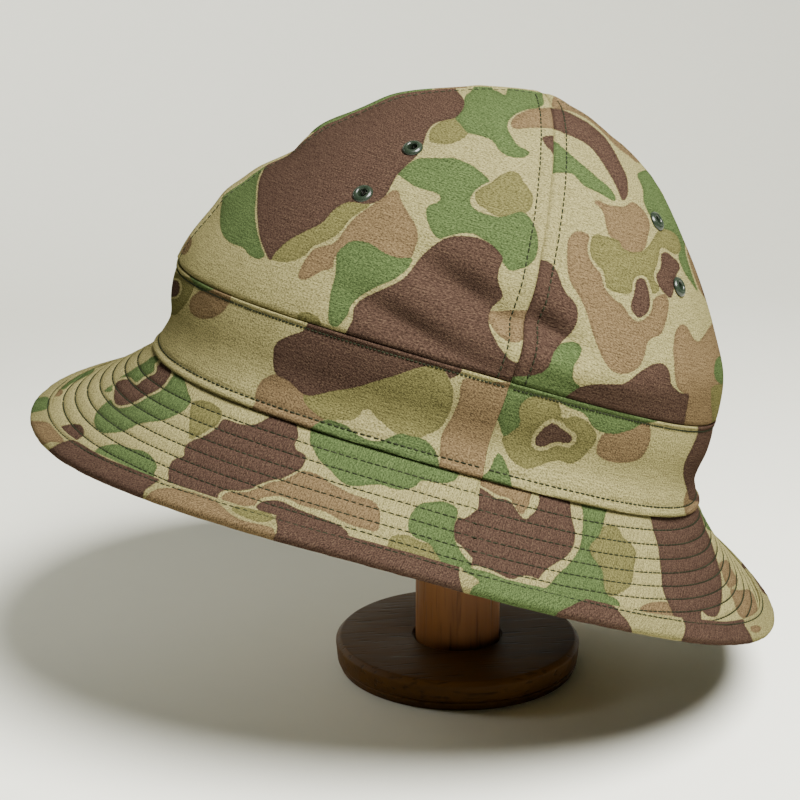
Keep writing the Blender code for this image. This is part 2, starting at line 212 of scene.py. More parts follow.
def length_along(line):
    """The length of a line of points up to each of them."""
    steps = np.linalg.norm(np.diff(line, axis=0), axis=-1)
    return np.concatenate([[0], np.cumsum(steps)])


def bump(distance, width):
    """A smooth hill, 1 at no distance and almost 0 at twice the width."""
    return np.exp(-(distance / width) ** 2)


def turn_from(angle, middle, period=360):
    """The turn to an angle from a middle one, or from the nearest that lies whole periods away."""
    return (angle - middle + period / 2) % period - period / 2


def cloud(places, size, seed):
    """Smooth noise between -1 and 1 through space, with lumps of about the given size."""
    cells = 32
    lattice = np.random.default_rng(seed).uniform(-1, 1, (cells, cells, cells))
    spot = places / size
    corner = np.floor(spot).astype(int)
    part = spot - corner
    part = part * part * (3 - 2 * part)
    total = np.zeros(places.shape[:-1])
    for x, y, z in np.ndindex(2, 2, 2):
        weight = np.ones(places.shape[:-1])
        for axis, side in enumerate((x, y, z)):
            weight = weight * (part[..., axis] if side else 1 - part[..., axis])
        cell = (corner + (x, y, z)) % cells
        total += weight * lattice[cell[..., 0], cell[..., 1], cell[..., 2]]
    return total


def waves(places, layers):
    """The sum of some layers of smooth noise, in metres."""
    return sum(layer.height * cloud(places, layer.size, layer.seed) for layer in layers)


# Shape of the hat


def round_the_hat(angle, front, side, back):
    """A value that is front at 0, side at 90 and 270, and back at 180 degrees."""
    along = np.where(cosine(angle) > 0, front, back)
    return along * cosine(angle) ** 2 + side * sine(angle) ** 2


def oval(angle, front, side, back):
    """Points of an egg-shaped ring that reaches front, side and back from the hat's axis."""
    reach = (front + back) / 2 + (front - back) / 2 * cosine(angle)
    return points(side * sine(angle), -reach * cosine(angle), 0.0)


def foot_level(angle):
    """Level of the crown's foot, highest at the sides and a little higher at the back."""
    twist = FOOT_TWIST * sine(angle) * cosine(angle)
    return FOOT_SIDE_LIFT * sine(angle) ** 2 - FOOT_BACK_LIFT * cosine(angle) + twist


def fold_push(angle, height):
    """How far the folds push the dome's cloth outwards at an angle and a height share."""
    total = 0.0
    for fold in FOLDS:
        turn = turn_from(angle, fold.angle)
        rise = height - fold.height - fold.lean * turn
        total = total + fold.push * bump(turn, fold.half_angle) * bump(rise, fold.half_height)
    return total * CROWN_HEIGHT * np.minimum(height / FOLD_START, 1.0)


def wall_point(angle, share):
    """The crown cloth's outer face inside the band, from its foot at 0 to the band's top at 1."""
    angle, share = np.broadcast_arrays(angle, share)
    foot = oval(angle, FOOT_FRONT, FOOT_SIDE, FOOT_BACK)
    top = oval(angle, CROWN_FRONT, CROWN_SIDE, CROWN_BACK)
    place = blend(foot, top, share[..., None])
    waist = BAND_WAIST * (1 - np.abs(2 * share - 1))
    for hollow in HOLLOWS:
        reach = np.where(share > hollow.share, hollow.above, hollow.below)
        around = bump(turn_from(angle, hollow.angle, hollow.period), hollow.spread)
        waist = waist + hollow.depth * around * bump(share - hollow.share, reach)
    place = place - unit(place) * waist[..., None]
    place[..., 2] = foot_level(angle) + BAND_HEIGHT * share
    return place


def dome_height(angle, lift):
    """How far up the dome a lift angle reaches, as a share."""
    fullness = round_the_hat(angle, FULLNESS_FRONT, FULLNESS_SIDE, FULLNESS_BACK)
    return sine(lift) ** (2 / fullness)


def dome_point(angle, lift):
    """The crown cloth's outer face above the band; lift runs from 0 to 90 degrees at the tip."""
    angle, lift = np.broadcast_arrays(angle, lift)
    fullness = round_the_hat(angle, FULLNESS_FRONT, FULLNESS_SIDE, FULLNESS_BACK)
    height = dome_height(angle, lift)
    width = cosine(lift) ** (2 / fullness)
    ring = oval(angle, CROWN_FRONT, CROWN_SIDE, CROWN_BACK)
    place = ring * width[..., None]
    place[..., 1] += TOP_SETBACK * height
    place[..., 2] = blend(foot_level(angle) + BAND_HEIGHT, CROWN_HEIGHT, height)
    outwards = unit(ring) * width[..., None]
    outwards[..., 2] = height
    return place + unit(outwards) * fold_push(angle, height)[..., None]


def brim_root(angle):
    """Where the brim's upper face starts, just outside and below the crown's foot."""
    foot = oval(angle, FOOT_FRONT, FOOT_SIDE, FOOT_BACK)
    root = foot + unit(foot) * CLEARANCE
    root[..., 2] = foot_level(angle) - CLEARANCE
    return root


def brim_edge(angle):
    """The outermost line of the bound edge."""
    edge = oval(
        angle,
        FOOT_FRONT + BRIM_FLARE_FRONT,
        FOOT_SIDE + BRIM_FLARE_SIDE,
        FOOT_BACK + BRIM_FLARE_BACK,
    )
    turn = sine(angle) * cosine(angle)
    drop = round_the_hat(angle, BRIM_DROP_FRONT, BRIM_DROP_SIDE, BRIM_DROP_BACK)
    drop = drop + BRIM_DROOP_RIGHT * np.minimum(sine(angle), 0) ** 2
    edge[..., 2] = foot_level(angle) - drop + (BRIM_TWIST - FOOT_TWIST) * turn
    return edge


def brim_width(angle):
    """How wide the brim is, straight from its root to its edge."""
    return np.linalg.norm(brim_edge(angle) - brim_root(angle), axis=-1)


def brim_point(angle, inset):
    """The brim's upper face at a distance in from its outermost line."""
    angle, inset = np.broadcast_arrays(angle, inset)
    root = brim_root(angle)
    edge = brim_edge(angle)
    share = 1 - inset / brim_width(angle)
    place = blend(root, edge, share[..., None])
    fall = share + round_the_hat(angle, *BRIM_BELL) * np.sin(2 * np.pi * share) / (2 * np.pi)
    fall = fall + round_the_hat(angle, *BRIM_HOLLOW) * 4 * share * (1 - share)
    place[..., 2] = blend(root[..., 2], edge[..., 2], fall)
    return place


def row_inset(angle, row):
    """How far in from the brim's outermost line a row of stitches lies."""
    return round_the_hat(angle, *BRIM_ROW_START) + row * round_the_hat(angle, *BRIM_ROW_PITCH)


def row_shows(angle, inset):
    """Whether a row of stitches is clear of the binding and of the brim's root."""
    clear_of_root = inset < brim_width(angle) - ROOT_CLEARANCE
    return (inset > BINDING_WIDTH + BINDING_CLEARANCE) & clear_of_root


def grid_normals(grid):
    """Unit normals of a grid of points, columns round the hat by rows up or out."""
    across = np.gradient(grid, axis=0)
    along = np.gradient(grid, axis=1)
    return unit(np.cross(across, along))


def hat_turn():
    return Matrix.Rotation(math.radians(-HAT_TILT), 3, "X")


def turned_with_hat(directions):
    return directions @ np.array(hat_turn()).T


def on_the_stand(places):
    """Turns and lifts the hat's own points to where the hat sits on its stand."""
    return turned_with_hat(places) + np.array(HAT_PLACE)


# Camera of the photograph


def camera_axes():
    """Unit vectors to the picture's right, to its top and back towards the camera."""
    azimuth = math.radians(CAMERA_AZIMUTH)
    elevation = math.radians(CAMERA_ELEVATION)
    back = Vector((
        math.sin(azimuth) * math.cos(elevation),
        -math.cos(azimuth) * math.cos(elevation),
        math.sin(elevation),
    ))
    right = Vector((0, 0, 1)).cross(back).normalized()
    return np.array(right), np.array(back.cross(right)), np.array(back)


CAMERA_RIGHT, CAMERA_UP, CAMERA_BACK = camera_axes()
CAMERA_PLACE = CAMERA_TARGET + CAMERA_BACK * CAMERA_DISTANCE


def photo_pixels(places):
    """Where points on the stand's side of the camera fall in the photograph."""
    away = places - CAMERA_PLACE
    depth = -(away @ CAMERA_BACK)
    scale = CAMERA_LENS / CAMERA_SENSOR * PHOTO_PIXELS
    across = PHOTO_PIXELS / 2 + scale * (away @ CAMERA_RIGHT) / depth
    down = PHOTO_PIXELS / 2 - scale * (away @ CAMERA_UP) / depth
    return np.stack([across, down], axis=-1)


def make_camera():
    data = bpy.data.cameras.new("photo_camera")
    data.lens = CAMERA_LENS
    data.sensor_width = CAMERA_SENSOR
    data.clip_start = 0.01
    data.clip_end = 50
    camera = bpy.data.objects.new("photo_camera", data)
    bpy.context.scene.collection.objects.link(camera)
    camera.location = CAMERA_PLACE
    camera.rotation_mode = "QUATERNION"
    camera.rotation_quaternion = (-Vector(CAMERA_BACK)).to_track_quat("-Z", "Y")
    bpy.context.scene.camera = camera


# Print of the cloth. Each patch is one spot of colour on one cut panel of cloth, outlined in
# photograph pixels; a smooth closed curve runs through its points. A patch that is
# cut by a seam or runs out of sight is drawn past it. A margin, where there is one, is the pale
# rim in pixels that the patch keeps clear in the colours printed before it.
Patch = namedtuple("Patch", "panel colour outline margin", defaults=(0,))
PATCHES = (
    Patch("front_left", "green", (
        (270, 160), (261, 172), (257, 184), (256, 198), (255, 214), (257, 230), (262, 248), (265, 256),
        (258, 259), (249, 255), (243, 248), (229, 242), (221, 231), (220, 213), (222, 199), (216, 188),
        (228, 170), (248, 156))),
    Patch("front_left", "brown", (
        (270, 160), (262, 173), (258, 186), (257, 214), (260, 238), (266, 254), (270, 261), (276, 252),
        (288, 241), (304, 232), (322, 223), (335, 209), (349, 202), (363, 204), (375, 203), (386, 195),
        (392, 184), (398, 174), (407, 165), (416, 157), (423, 145), (427, 133), (434, 124), (446, 120),
        (455, 118), (463, 109), (464, 100), (458, 92), (446, 82), (400, 84), (350, 100), (310, 125),
        (285, 150))),
    Patch("front_left", "olive", (
        (268, 256), (279, 262), (293, 261), (304, 256), (314, 246), (331, 239), (342, 230), (350, 219),
        (360, 212), (370, 205), (362, 195), (340, 200), (310, 222), (280, 245))),
    Patch("front_left", "tan", (
        (298, 276), (302, 265), (308, 256), (314, 249), (324, 246), (334, 243), (341, 235), (349, 224),
        (358, 215), (369, 207), (381, 199), (393, 190), (399, 192), (401, 200), (409, 214), (416, 226),
        (418, 238), (415, 249), (410, 259), (398, 260), (384, 256), (370, 250), (352, 248), (341, 253),
        (334, 259), (333, 268), (322, 271), (310, 278), (302, 280))),
    Patch("front_left", "green", (
        (337, 253), (345, 245), (352, 241), (361, 241), (371, 244), (380, 250), (389, 255), (399, 258),
        (412, 258), (409, 267), (403, 273), (393, 280), (381, 285), (367, 292), (358, 298), (351, 306),
        (348, 314), (344, 320), (337, 327), (330, 325), (328, 316), (329, 305), (331, 290), (335, 276),
        (336, 262))),
    Patch("front_left", "brown", (
        (428, 250), (437, 243), (446, 238), (455, 236), (465, 236), (475, 237), (484, 240), (492, 245),
        (499, 252), (503, 258), (502, 262), (499, 270), (498, 279), (500, 287), (503, 296), (498, 302),
        (492, 308), (489, 315), (489, 324), (493, 335), (499, 346), (506, 355), (512, 361), (524, 366),
        (524, 386), (505, 396), (450, 384), (380, 362), (340, 350), (346, 332), (352, 321), (353, 312),
        (355, 306), (362, 299), (372, 294), (385, 288), (396, 283), (404, 278), (411, 270), (418, 260))),
    Patch("front_left", "green", (
        (403, 168), (414, 160), (422, 158), (440, 158), (453, 158), (463, 161), (473, 166), (481, 172),
        (490, 181), (484, 184), (477, 189), (472, 195), (470, 200), (472, 206), (478, 211), (490, 215),
        (500, 217), (509, 215), (518, 212), (525, 213), (531, 219), (535, 227), (538, 238), (538, 249),
        (535, 259), (528, 266), (520, 269), (511, 271), (506, 267), (500, 259), (495, 250), (491, 245),
        (484, 240), (476, 235), (467, 233), (458, 234), (449, 236), (440, 239), (436, 237), (431, 230),
        (427, 220), (426, 211), (429, 205), (436, 203), (440, 200), (440, 196), (436, 193), (430, 191),
        (422, 189), (414, 186), (408, 182), (401, 177), (396, 172))),
    Patch("front_left", "olive", (
        (475, 193), (475, 198), (478, 204), (484, 208), (491, 213), (498, 217), (505, 219), (513, 216),
        (522, 214), (530, 210), (533, 201), (532, 194), (528, 187), (523, 181), (520, 175), (515, 172),
        (510, 171), (504, 174), (498, 177), (492, 182), (484, 186), (478, 190))),
    Patch("front_left", "green", (
        (464, 100), (466, 95), (471, 91), (478, 82), (490, 80), (493, 89), (498, 91), (505, 95),
        (507, 90), (511, 80), (530, 78), (541, 88), (543, 97), (544, 104), (538, 108), (530, 109),
        (523, 111), (516, 114), (511, 118), (508, 123), (508, 129), (511, 135), (514, 140), (519, 146),
        (527, 150), (530, 153), (527, 156), (520, 158), (511, 157), (504, 154), (499, 150), (495, 144),
        (491, 140), (484, 137), (476, 135), (468, 133), (464, 129), (461, 125), (457, 121), (455, 117),
        (459, 113), (463, 108))),
    Patch("front_left", "olive", (
        (429, 136), (431, 129), (437, 124), (446, 118), (456, 116), (462, 121), (466, 127), (468, 133),
        (464, 138), (458, 141), (450, 144), (442, 144), (435, 143), (430, 141))),
    Patch("front_left", "tan", (
        (511, 125), (512, 120), (517, 115), (525, 111), (534, 108), (543, 108), (556, 108), (560, 118),
        (556, 128), (545, 128), (530, 128), (520, 129), (513, 128))),
    Patch("front_left", "brown", (
        (542, 138), (546, 136), (554, 136), (562, 142), (562, 158), (555, 157), (551, 151), (546, 146))),
    Patch("front_left", "tan", (
        (176, 248), (184, 255), (190, 248), (192, 241), (189, 235), (178, 232), (168, 240))),
    Patch("front_left", "olive", (
        (298, 314), (307, 312), (314, 315), (320, 320), (318, 334), (298, 330))),
    Patch("front_left", "tan", (
        (485, 312), (500, 311), (515, 310), (534, 312), (532, 325), (527, 336), (519, 342), (510, 342),
        (502, 338), (494, 330))),
    Patch("front_right", "green", (
        (300, 136), (335, 124), (360, 118), (400, 106), (425, 99), (432, 92), (428, 82), (400, 78),
        (350, 84), (300, 106), (286, 126))),
    Patch("front_right", "tan", ((438, 98), (452, 94), (464, 91), (466, 84), (452, 78), (436, 82))),
    Patch("back_left", "brown", (
        (538, 112), (548, 108), (559, 109), (566, 111), (576, 116), (587, 122), (596, 129), (604, 136),
        (610, 144), (616, 154), (621, 164), (626, 174), (628, 184), (628, 194), (625, 200), (621, 199),
        (619, 193), (616, 186), (611, 177), (605, 167), (599, 158), (592, 149), (583, 142), (573, 137),
        (563, 133), (551, 128), (538, 124))),
    Patch("back_left", "tan", (
        (552, 107), (570, 111), (585, 118), (597, 127), (608, 138), (618, 148), (630, 157), (638, 163),
        (656, 162), (650, 140), (620, 112), (590, 96), (560, 90))),
    Patch("back_left", "green", (
        (544, 139), (556, 142), (561, 146), (568, 152), (577, 160), (588, 169), (598, 178), (607, 185),
        (613, 192), (616, 199), (613, 201), (606, 197), (597, 192), (586, 187), (579, 181), (574, 175),
        (566, 173), (556, 173), (542, 173))),
    Patch("back_left", "green", (
        (637, 175), (642, 171), (652, 170), (672, 178), (694, 204), (700, 226), (688, 237), (685, 246),
        (687, 258), (692, 274), (698, 292), (690, 281), (684, 272), (680, 263), (678, 255), (681, 249),
        (680, 243), (677, 236), (671, 231), (664, 229), (656, 229), (652, 222), (649, 214), (645, 206),
        (643, 198), (643, 190), (640, 182))),
    Patch("back_left", "tan", (
        (687, 239), (687, 252), (690, 264), (694, 276), (700, 291), (708, 300), (716, 290), (704, 240))),
    Patch("back_left", "brown", (
        (690, 243), (694, 254), (699, 272), (705, 298), (722, 300), (716, 262), (702, 236))),
    Patch("back_left", "tan", (
        (594, 202), (598, 200), (606, 204), (616, 206), (625, 206), (631, 202), (637, 204), (644, 211),
        (649, 220), (650, 228), (648, 236), (646, 246), (640, 254), (631, 255), (622, 250), (616, 243),
        (611, 238), (607, 230), (605, 221), (603, 212), (599, 207))),
    Patch("back_left", "olive", (
        (591, 242), (592, 237), (597, 234), (604, 236), (613, 238), (619, 241), (623, 248), (632, 252),
        (642, 251), (649, 245), (654, 237), (658, 231), (665, 228), (673, 230), (680, 238), (682, 247),
        (678, 254), (672, 253), (666, 249), (661, 248), (659, 254), (658, 262), (655, 270), (654, 278),
        (658, 285), (659, 291), (653, 294), (640, 293), (628, 294), (614, 292), (607, 288), (605, 280),
        (603, 271), (598, 266), (592, 258), (590, 250))),
    Patch("back_left", "brown", (
        (661, 262), (661, 255), (664, 252), (668, 253), (673, 257), (678, 262), (680, 268), (677, 274),
        (675, 281), (674, 290), (671, 298), (667, 296), (660, 288), (657, 281), (656, 275), (660, 269))),
    Patch("back_left", "brown", (
        (640, 278), (645, 280), (648, 288), (650, 297), (650, 305), (648, 312), (644, 316), (639, 318),
        (635, 315), (631, 309), (631, 303), (633, 297), (635, 288), (636, 281)), margin=2.5),
    Patch("back_left", "tan", (
        (567, 250), (568, 240), (573, 233), (579, 231), (586, 233), (590, 237), (588, 244), (588, 252),
        (591, 261), (597, 269), (601, 274), (603, 283), (606, 290), (614, 299), (620, 303), (625, 308),
        (630, 316), (636, 321), (643, 320), (649, 314), (652, 305), (654, 299), (660, 295), (665, 294),
        (668, 299), (669, 306), (667, 318), (664, 328), (660, 335), (653, 338), (648, 342), (646, 350),
        (643, 360), (638, 368), (629, 373), (620, 374), (611, 370), (604, 361), (599, 350), (594, 337),
        (590, 325), (587, 314), (582, 302), (577, 293), (571, 283), (568, 273), (567, 261))),
    Patch("back_left", "tan", (
        (674, 341), (675, 333), (678, 327), (683, 324), (688, 328), (691, 334), (695, 340), (699, 341),
        (704, 335), (708, 329), (714, 322), (726, 322), (734, 350), (730, 400), (720, 428), (700, 434),
        (684, 432), (684, 414), (684, 400), (684, 394), (678, 389), (675, 378), (674, 362), (673, 350))),
    Patch("back_left", "green", (
        (717, 358), (714, 370), (716, 380), (724, 384), (732, 370), (726, 356))),
    Patch("back_left", "olive", (
        (713, 386), (711, 398), (712, 412), (714, 428), (730, 428), (730, 388))),
    Patch("back_left", "brown", (
        (563, 400), (574, 391), (580, 387), (589, 385), (600, 384), (611, 384), (622, 384), (630, 380),
        (637, 374), (644, 369), (651, 365), (660, 363), (666, 366), (670, 373), (671, 383), (675, 388),
        (681, 393), (689, 394), (688, 403), (686, 414), (684, 424), (676, 438), (600, 422), (563, 412))),
    Patch("back_left", "brown", (
        (532, 262), (542, 260), (549, 262), (555, 268), (559, 276), (562, 285), (567, 294), (573, 300),
        (577, 307), (578, 316), (576, 325), (571, 333), (564, 340), (557, 348), (553, 354), (551, 362),
        (546, 370), (538, 374), (525, 376), (502, 374), (505, 350), (520, 300))),
    Patch("back_left", "green", (
        (553, 351), (560, 344), (567, 342), (575, 342), (580, 345), (582, 350), (579, 358), (575, 364),
        (573, 371), (573, 378), (576, 383), (580, 387), (574, 393), (566, 402), (560, 416), (500, 402),
        (500, 368), (530, 368), (545, 366), (549, 358))),
    Patch("band_front", "brown", (
        (158, 278), (172, 280), (178, 281), (180, 288), (178, 295), (173, 297), (158, 296)), margin=2),
    Patch("band_front", "olive", (
        (156, 268), (172, 272), (182, 275), (194, 280), (194, 287), (191, 295), (186, 304), (180, 311),
        (176, 315), (170, 314), (156, 308))),
    Patch("band_front", "green", (
        (188, 268), (192, 281), (198, 289), (205, 291), (212, 290), (218, 286), (224, 280), (208, 268))),
    Patch("band_front", "tan", (
        (189, 307), (190, 300), (195, 294), (204, 289), (214, 288), (224, 291), (231, 297), (228, 305),
        (223, 312), (215, 317), (207, 319), (198, 318), (191, 313))),
    Patch("band_front", "brown", (
        (273, 355), (274, 347), (278, 341), (286, 337), (294, 334), (301, 332), (306, 327), (311, 318),
        (330, 312), (400, 330), (446, 346), (464, 360), (462, 370), (458, 375), (450, 379), (446, 373),
        (440, 367), (430, 366), (417, 368), (400, 374), (387, 378), (373, 382), (361, 386), (348, 389),
        (333, 391), (321, 394), (311, 396), (303, 394), (298, 390), (292, 384), (285, 379), (278, 376),
        (274, 371), (273, 363))),
    Patch("band_front", "tan", (
        (255, 403), (255, 396), (257, 388), (261, 381), (267, 377), (275, 374), (290, 378), (300, 386),
        (308, 394), (308, 406), (316, 413), (324, 417), (320, 426), (308, 438), (280, 430), (250, 416))),
    Patch("band_front", "olive", (
        (303, 397), (308, 388), (322, 386), (340, 384), (362, 378), (388, 370), (410, 362), (425, 360),
        (436, 362), (443, 369), (449, 379), (453, 389), (453, 400), (451, 409), (447, 418), (443, 425),
        (436, 431), (428, 434), (419, 438), (407, 438), (397, 434), (390, 429), (383, 423), (377, 418),
        (371, 411), (366, 408), (362, 410), (359, 416), (352, 420), (340, 420), (331, 420), (323, 419),
        (315, 413), (307, 406))),
    Patch("band_front", "green", (
        (307, 432), (316, 424), (324, 420), (332, 420), (340, 423), (348, 426), (352, 431), (360, 436),
        (370, 440), (380, 441), (388, 438), (397, 434), (404, 434), (412, 436), (421, 438), (428, 442),
        (434, 449), (437, 456), (439, 464), (438, 480), (420, 478), (380, 468), (340, 454), (304, 442))),
    Patch("band_front", "tan", (
        (460, 391), (461, 384), (465, 378), (474, 379), (483, 382), (497, 382), (518, 384), (520, 400),
        (512, 430), (504, 460), (498, 486), (485, 490), (460, 484), (439, 476), (440, 460), (440, 448),
        (441, 437), (445, 428), (450, 420), (455, 410), (459, 401))),
    Patch("band_back", "green", (
        (500, 374), (530, 380), (560, 388), (600, 398), (650, 408), (658, 420), (648, 423), (641, 424),
        (633, 429), (624, 432), (615, 434), (605, 433), (597, 430), (591, 424), (587, 417), (581, 412),
        (573, 409), (564, 405), (557, 400), (545, 397), (535, 396), (527, 399), (521, 404), (519, 411),
        (520, 418), (520, 426), (514, 430), (509, 434), (504, 437), (501, 431), (499, 424), (494, 412),
        (492, 396))),
    Patch("band_back", "olive", (
        (502, 440), (504, 446), (507, 453), (511, 460), (519, 466), (527, 469), (536, 467), (544, 464),
        (553, 461), (561, 461), (569, 464), (576, 462), (583, 457), (589, 450), (594, 445), (597, 437),
        (595, 431), (590, 424), (583, 419), (574, 416), (566, 419), (562, 416), (560, 408), (556, 400),
        (541, 394), (530, 390), (518, 394), (514, 408), (514, 424), (504, 434))),
    Patch("band_back", "brown", (
        (535, 441), (537, 435), (542, 430), (547, 425), (551, 423), (556, 424), (561, 428), (568, 433),
        (573, 437), (572, 441), (567, 444), (559, 442), (551, 443), (546, 446), (540, 447),
        (536, 445)), margin=4),
    Patch("band_back", "tan", (
        (596, 452), (598, 442), (604, 433), (615, 431), (630, 427), (641, 420), (648, 420), (650, 428),
        (651, 436), (649, 445), (645, 453), (640, 459), (631, 462), (621, 463), (611, 462), (603, 459),
        (598, 455))),
    Patch("band_back", "brown", (
        (700, 414), (726, 412), (730, 440), (722, 480), (706, 500), (690, 500), (688, 494), (685, 484),
        (683, 474), (684, 464), (687, 457), (691, 449), (695, 440), (698, 431))),
    Patch("band_back", "tan", (
        (684, 499), (688, 490), (700, 488), (716, 494), (718, 516), (700, 526), (688, 518), (684, 508))),
    Patch("band_back", "green", (
        (489, 470), (493, 461), (496, 455), (499, 453), (503, 457), (506, 464), (509, 471), (511, 480),
        (511, 496), (488, 492), (480, 480))),
    Patch("brim_front", "green", (
        (95, 415), (98, 410), (104, 404), (110, 400), (117, 398), (118, 388), (117, 381), (122, 376),
        (129, 372), (136, 367), (145, 362), (156, 354), (168, 360), (180, 372), (186, 384), (188, 392),
        (191, 399), (189, 405), (185, 410), (178, 414), (170, 418), (160, 421), (150, 422), (139, 424),
        (129, 429), (121, 432), (110, 433), (103, 433), (97, 429), (94, 422))),
    Patch("brim_front", "brown", (
        (114, 393), (116, 383), (121, 380), (129, 379), (133, 383), (137, 385), (143, 380), (150, 376),
        (156, 372), (158, 360), (168, 362), (172, 371), (168, 379), (163, 386), (156, 391), (147, 395),
        (139, 400), (130, 404), (121, 406), (116, 404), (114, 400)), margin=2),
    Patch("brim_front", "green", ((104, 391), (110, 386), (117, 383), (117, 390), (109, 392))),
    Patch("brim_front", "green", (
        (61, 389), (64, 383), (73, 377), (80, 373), (87, 370), (95, 367), (93, 372), (87, 376), (79, 380),
        (71, 384), (65, 389))),
    Patch("brim_front", "tan", ((53, 391), (60, 389), (63, 392), (60, 396), (54, 396))),
    Patch("brim_front", "green", (
        (95, 452), (100, 447), (107, 445), (116, 444), (124, 446), (133, 449), (141, 450), (149, 454),
        (154, 460), (157, 466), (155, 472), (150, 482), (130, 480), (112, 470), (98, 462))),
    Patch("brim_front", "brown", (
        (60, 428), (66, 425), (74, 424), (81, 425), (84, 430), (83, 436), (77, 440), (72, 443),
        (65, 437))),
    Patch("brim_front", "brown", (
        (168, 479), (168, 473), (169, 467), (172, 461), (177, 458), (184, 456), (184, 450), (187, 444),
        (193, 440), (200, 438), (209, 433), (216, 428), (220, 423), (223, 419), (229, 420), (237, 423),
        (247, 425), (256, 424), (262, 421), (269, 417), (276, 410), (290, 412), (296, 424), (298, 432),
        (298, 438), (295, 444), (297, 450), (303, 453), (306, 458), (304, 464), (301, 469), (295, 472),
        (288, 476), (281, 479), (274, 480), (266, 482), (258, 485), (252, 489), (246, 490), (238, 491),
        (228, 490), (221, 492), (218, 496), (214, 508), (200, 506), (180, 498), (166, 488))),
    Patch("brim_front", "olive", (
        (190, 412), (192, 403), (200, 400), (207, 401), (214, 404), (220, 409), (222, 415), (219, 423),
        (214, 427), (207, 431), (200, 435), (190, 440), (189, 430))),
    Patch("brim_front", "green", (
        (311, 428), (310, 436), (310, 443), (314, 450), (317, 457), (323, 464), (330, 470), (336, 477),
        (343, 483), (351, 486), (361, 486), (371, 485), (381, 485), (391, 488), (400, 490), (409, 489),
        (416, 486), (421, 481), (427, 481), (437, 483), (447, 483), (455, 480), (459, 474), (460, 460),
        (440, 450), (400, 436), (350, 418), (318, 408))),
    Patch("brim_front", "tan", (
        (222, 500), (222, 496), (228, 492), (237, 492), (246, 492), (255, 489), (263, 486), (271, 482),
        (280, 481), (288, 478), (295, 474), (302, 471), (314, 473), (322, 477), (329, 482), (338, 487),
        (350, 493), (361, 497), (371, 500), (377, 505), (380, 512), (380, 520), (379, 528), (376, 532),
        (368, 530), (357, 527), (348, 524), (340, 520), (331, 515), (323, 511), (311, 508), (300, 505),
        (293, 501), (286, 498), (277, 496), (268, 497), (260, 499), (255, 505), (243, 506), (232, 503))),
    Patch("brim_front", "brown", (
        (256, 508), (258, 504), (264, 501), (273, 500), (281, 501), (288, 504), (294, 507), (303, 511),
        (314, 515), (324, 519), (333, 522), (340, 526), (346, 530), (349, 537), (346, 548), (320, 546),
        (290, 536), (274, 524), (268, 514), (262, 512))),
    Patch("brim_front", "olive", (
        (388, 544), (389, 539), (392, 536), (397, 535), (406, 535), (413, 537), (419, 541), (427, 543),
        (434, 545), (437, 552), (439, 557), (443, 562), (438, 572), (410, 566), (386, 556))),
    Patch("brim_front", "green", (
        (423, 503), (431, 502), (440, 501), (449, 503), (456, 507), (458, 512), (457, 518), (455, 523),
        (455, 531), (455, 540), (458, 546), (462, 553), (466, 558), (472, 563), (482, 566), (480, 580),
        (460, 578), (446, 570), (439, 558), (434, 551), (431, 545), (423, 541), (414, 537), (409, 531),
        (408, 525), (409, 518), (413, 511), (417, 506))),
    Patch("brim_front", "brown", (
        (454, 530), (455, 523), (459, 518), (466, 518), (471, 514), (482, 508), (488, 520), (488, 562),
        (478, 564), (472, 558), (466, 551), (460, 545), (455, 540))),
    Patch("brim_back", "tan", (
        (470, 472), (484, 474), (510, 480), (530, 486), (530, 501), (526, 510), (522, 515), (517, 510),
        (513, 503), (508, 498), (499, 496), (490, 491), (483, 487), (476, 482))),
    Patch("brim_back", "brown", (
        (464, 492), (477, 487), (483, 489), (489, 493), (496, 498), (504, 499), (511, 502), (516, 509),
        (521, 516), (526, 519), (530, 516), (536, 510), (539, 501), (539, 494), (541, 484), (568, 486),
        (570, 501), (571, 509), (572, 519), (575, 530), (575, 538), (573, 547), (567, 556), (558, 562),
        (550, 567), (543, 573), (538, 579), (530, 576), (521, 576), (515, 579), (509, 579), (501, 575),
        (493, 571), (485, 568), (478, 566), (470, 566), (456, 566), (456, 500))),
    Patch("brim_back", "green", (
        (580, 494), (608, 496), (605, 517), (603, 525), (600, 534), (595, 540), (590, 546), (591, 554),
        (598, 564), (603, 572), (604, 586), (608, 595), (615, 598), (620, 606), (612, 620), (560, 610),
        (500, 596), (464, 584), (468, 569), (480, 570), (491, 573), (503, 578), (523, 585), (540, 588),
        (547, 587), (553, 580), (560, 572), (568, 565), (575, 556), (580, 546), (582, 533), (583, 518),
        (582, 508))),
    Patch("brim_back", "olive", (
        (588, 548), (594, 539), (600, 532), (602, 527), (607, 525), (613, 525), (619, 529), (623, 537),
        (629, 542), (635, 549), (636, 556), (634, 567), (633, 577), (630, 586), (622, 592), (613, 596),
        (604, 594), (601, 582), (600, 572), (594, 562))),
    Patch("brim_back", "tan", (
        (640, 609), (646, 604), (654, 602), (666, 602), (672, 608), (674, 616), (666, 622), (652, 618))),
    Patch("brim_back", "brown", (
        (646, 504), (650, 516), (653, 530), (657, 543), (659, 557), (661, 571), (662, 586), (666, 599),
        (671, 609), (674, 617), (680, 628), (702, 632), (701, 615), (702, 611), (706, 615), (712, 617),
        (717, 616), (720, 610), (722, 600), (722, 586), (721, 574), (718, 563), (714, 550), (710, 538),
        (705, 527), (700, 512), (690, 500))),
    Patch("brim_back", "green", (
        (700, 510), (703, 520), (707, 529), (713, 531), (722, 530), (712, 512))),
    Patch("brim_back", "tan", (
        (719, 564), (727, 560), (732, 570), (738, 581), (730, 588), (725, 582), (722, 573))),
    Patch("brim_back", "tan", (
        (730, 590), (740, 590), (750, 590), (756, 601), (757, 612), (746, 619), (738, 614), (734, 602))),
    Patch("binding", "green", ((20, 400), (36, 398), (48, 397), (48, 408), (36, 412), (18, 414))),
    Patch("binding", "tan", (
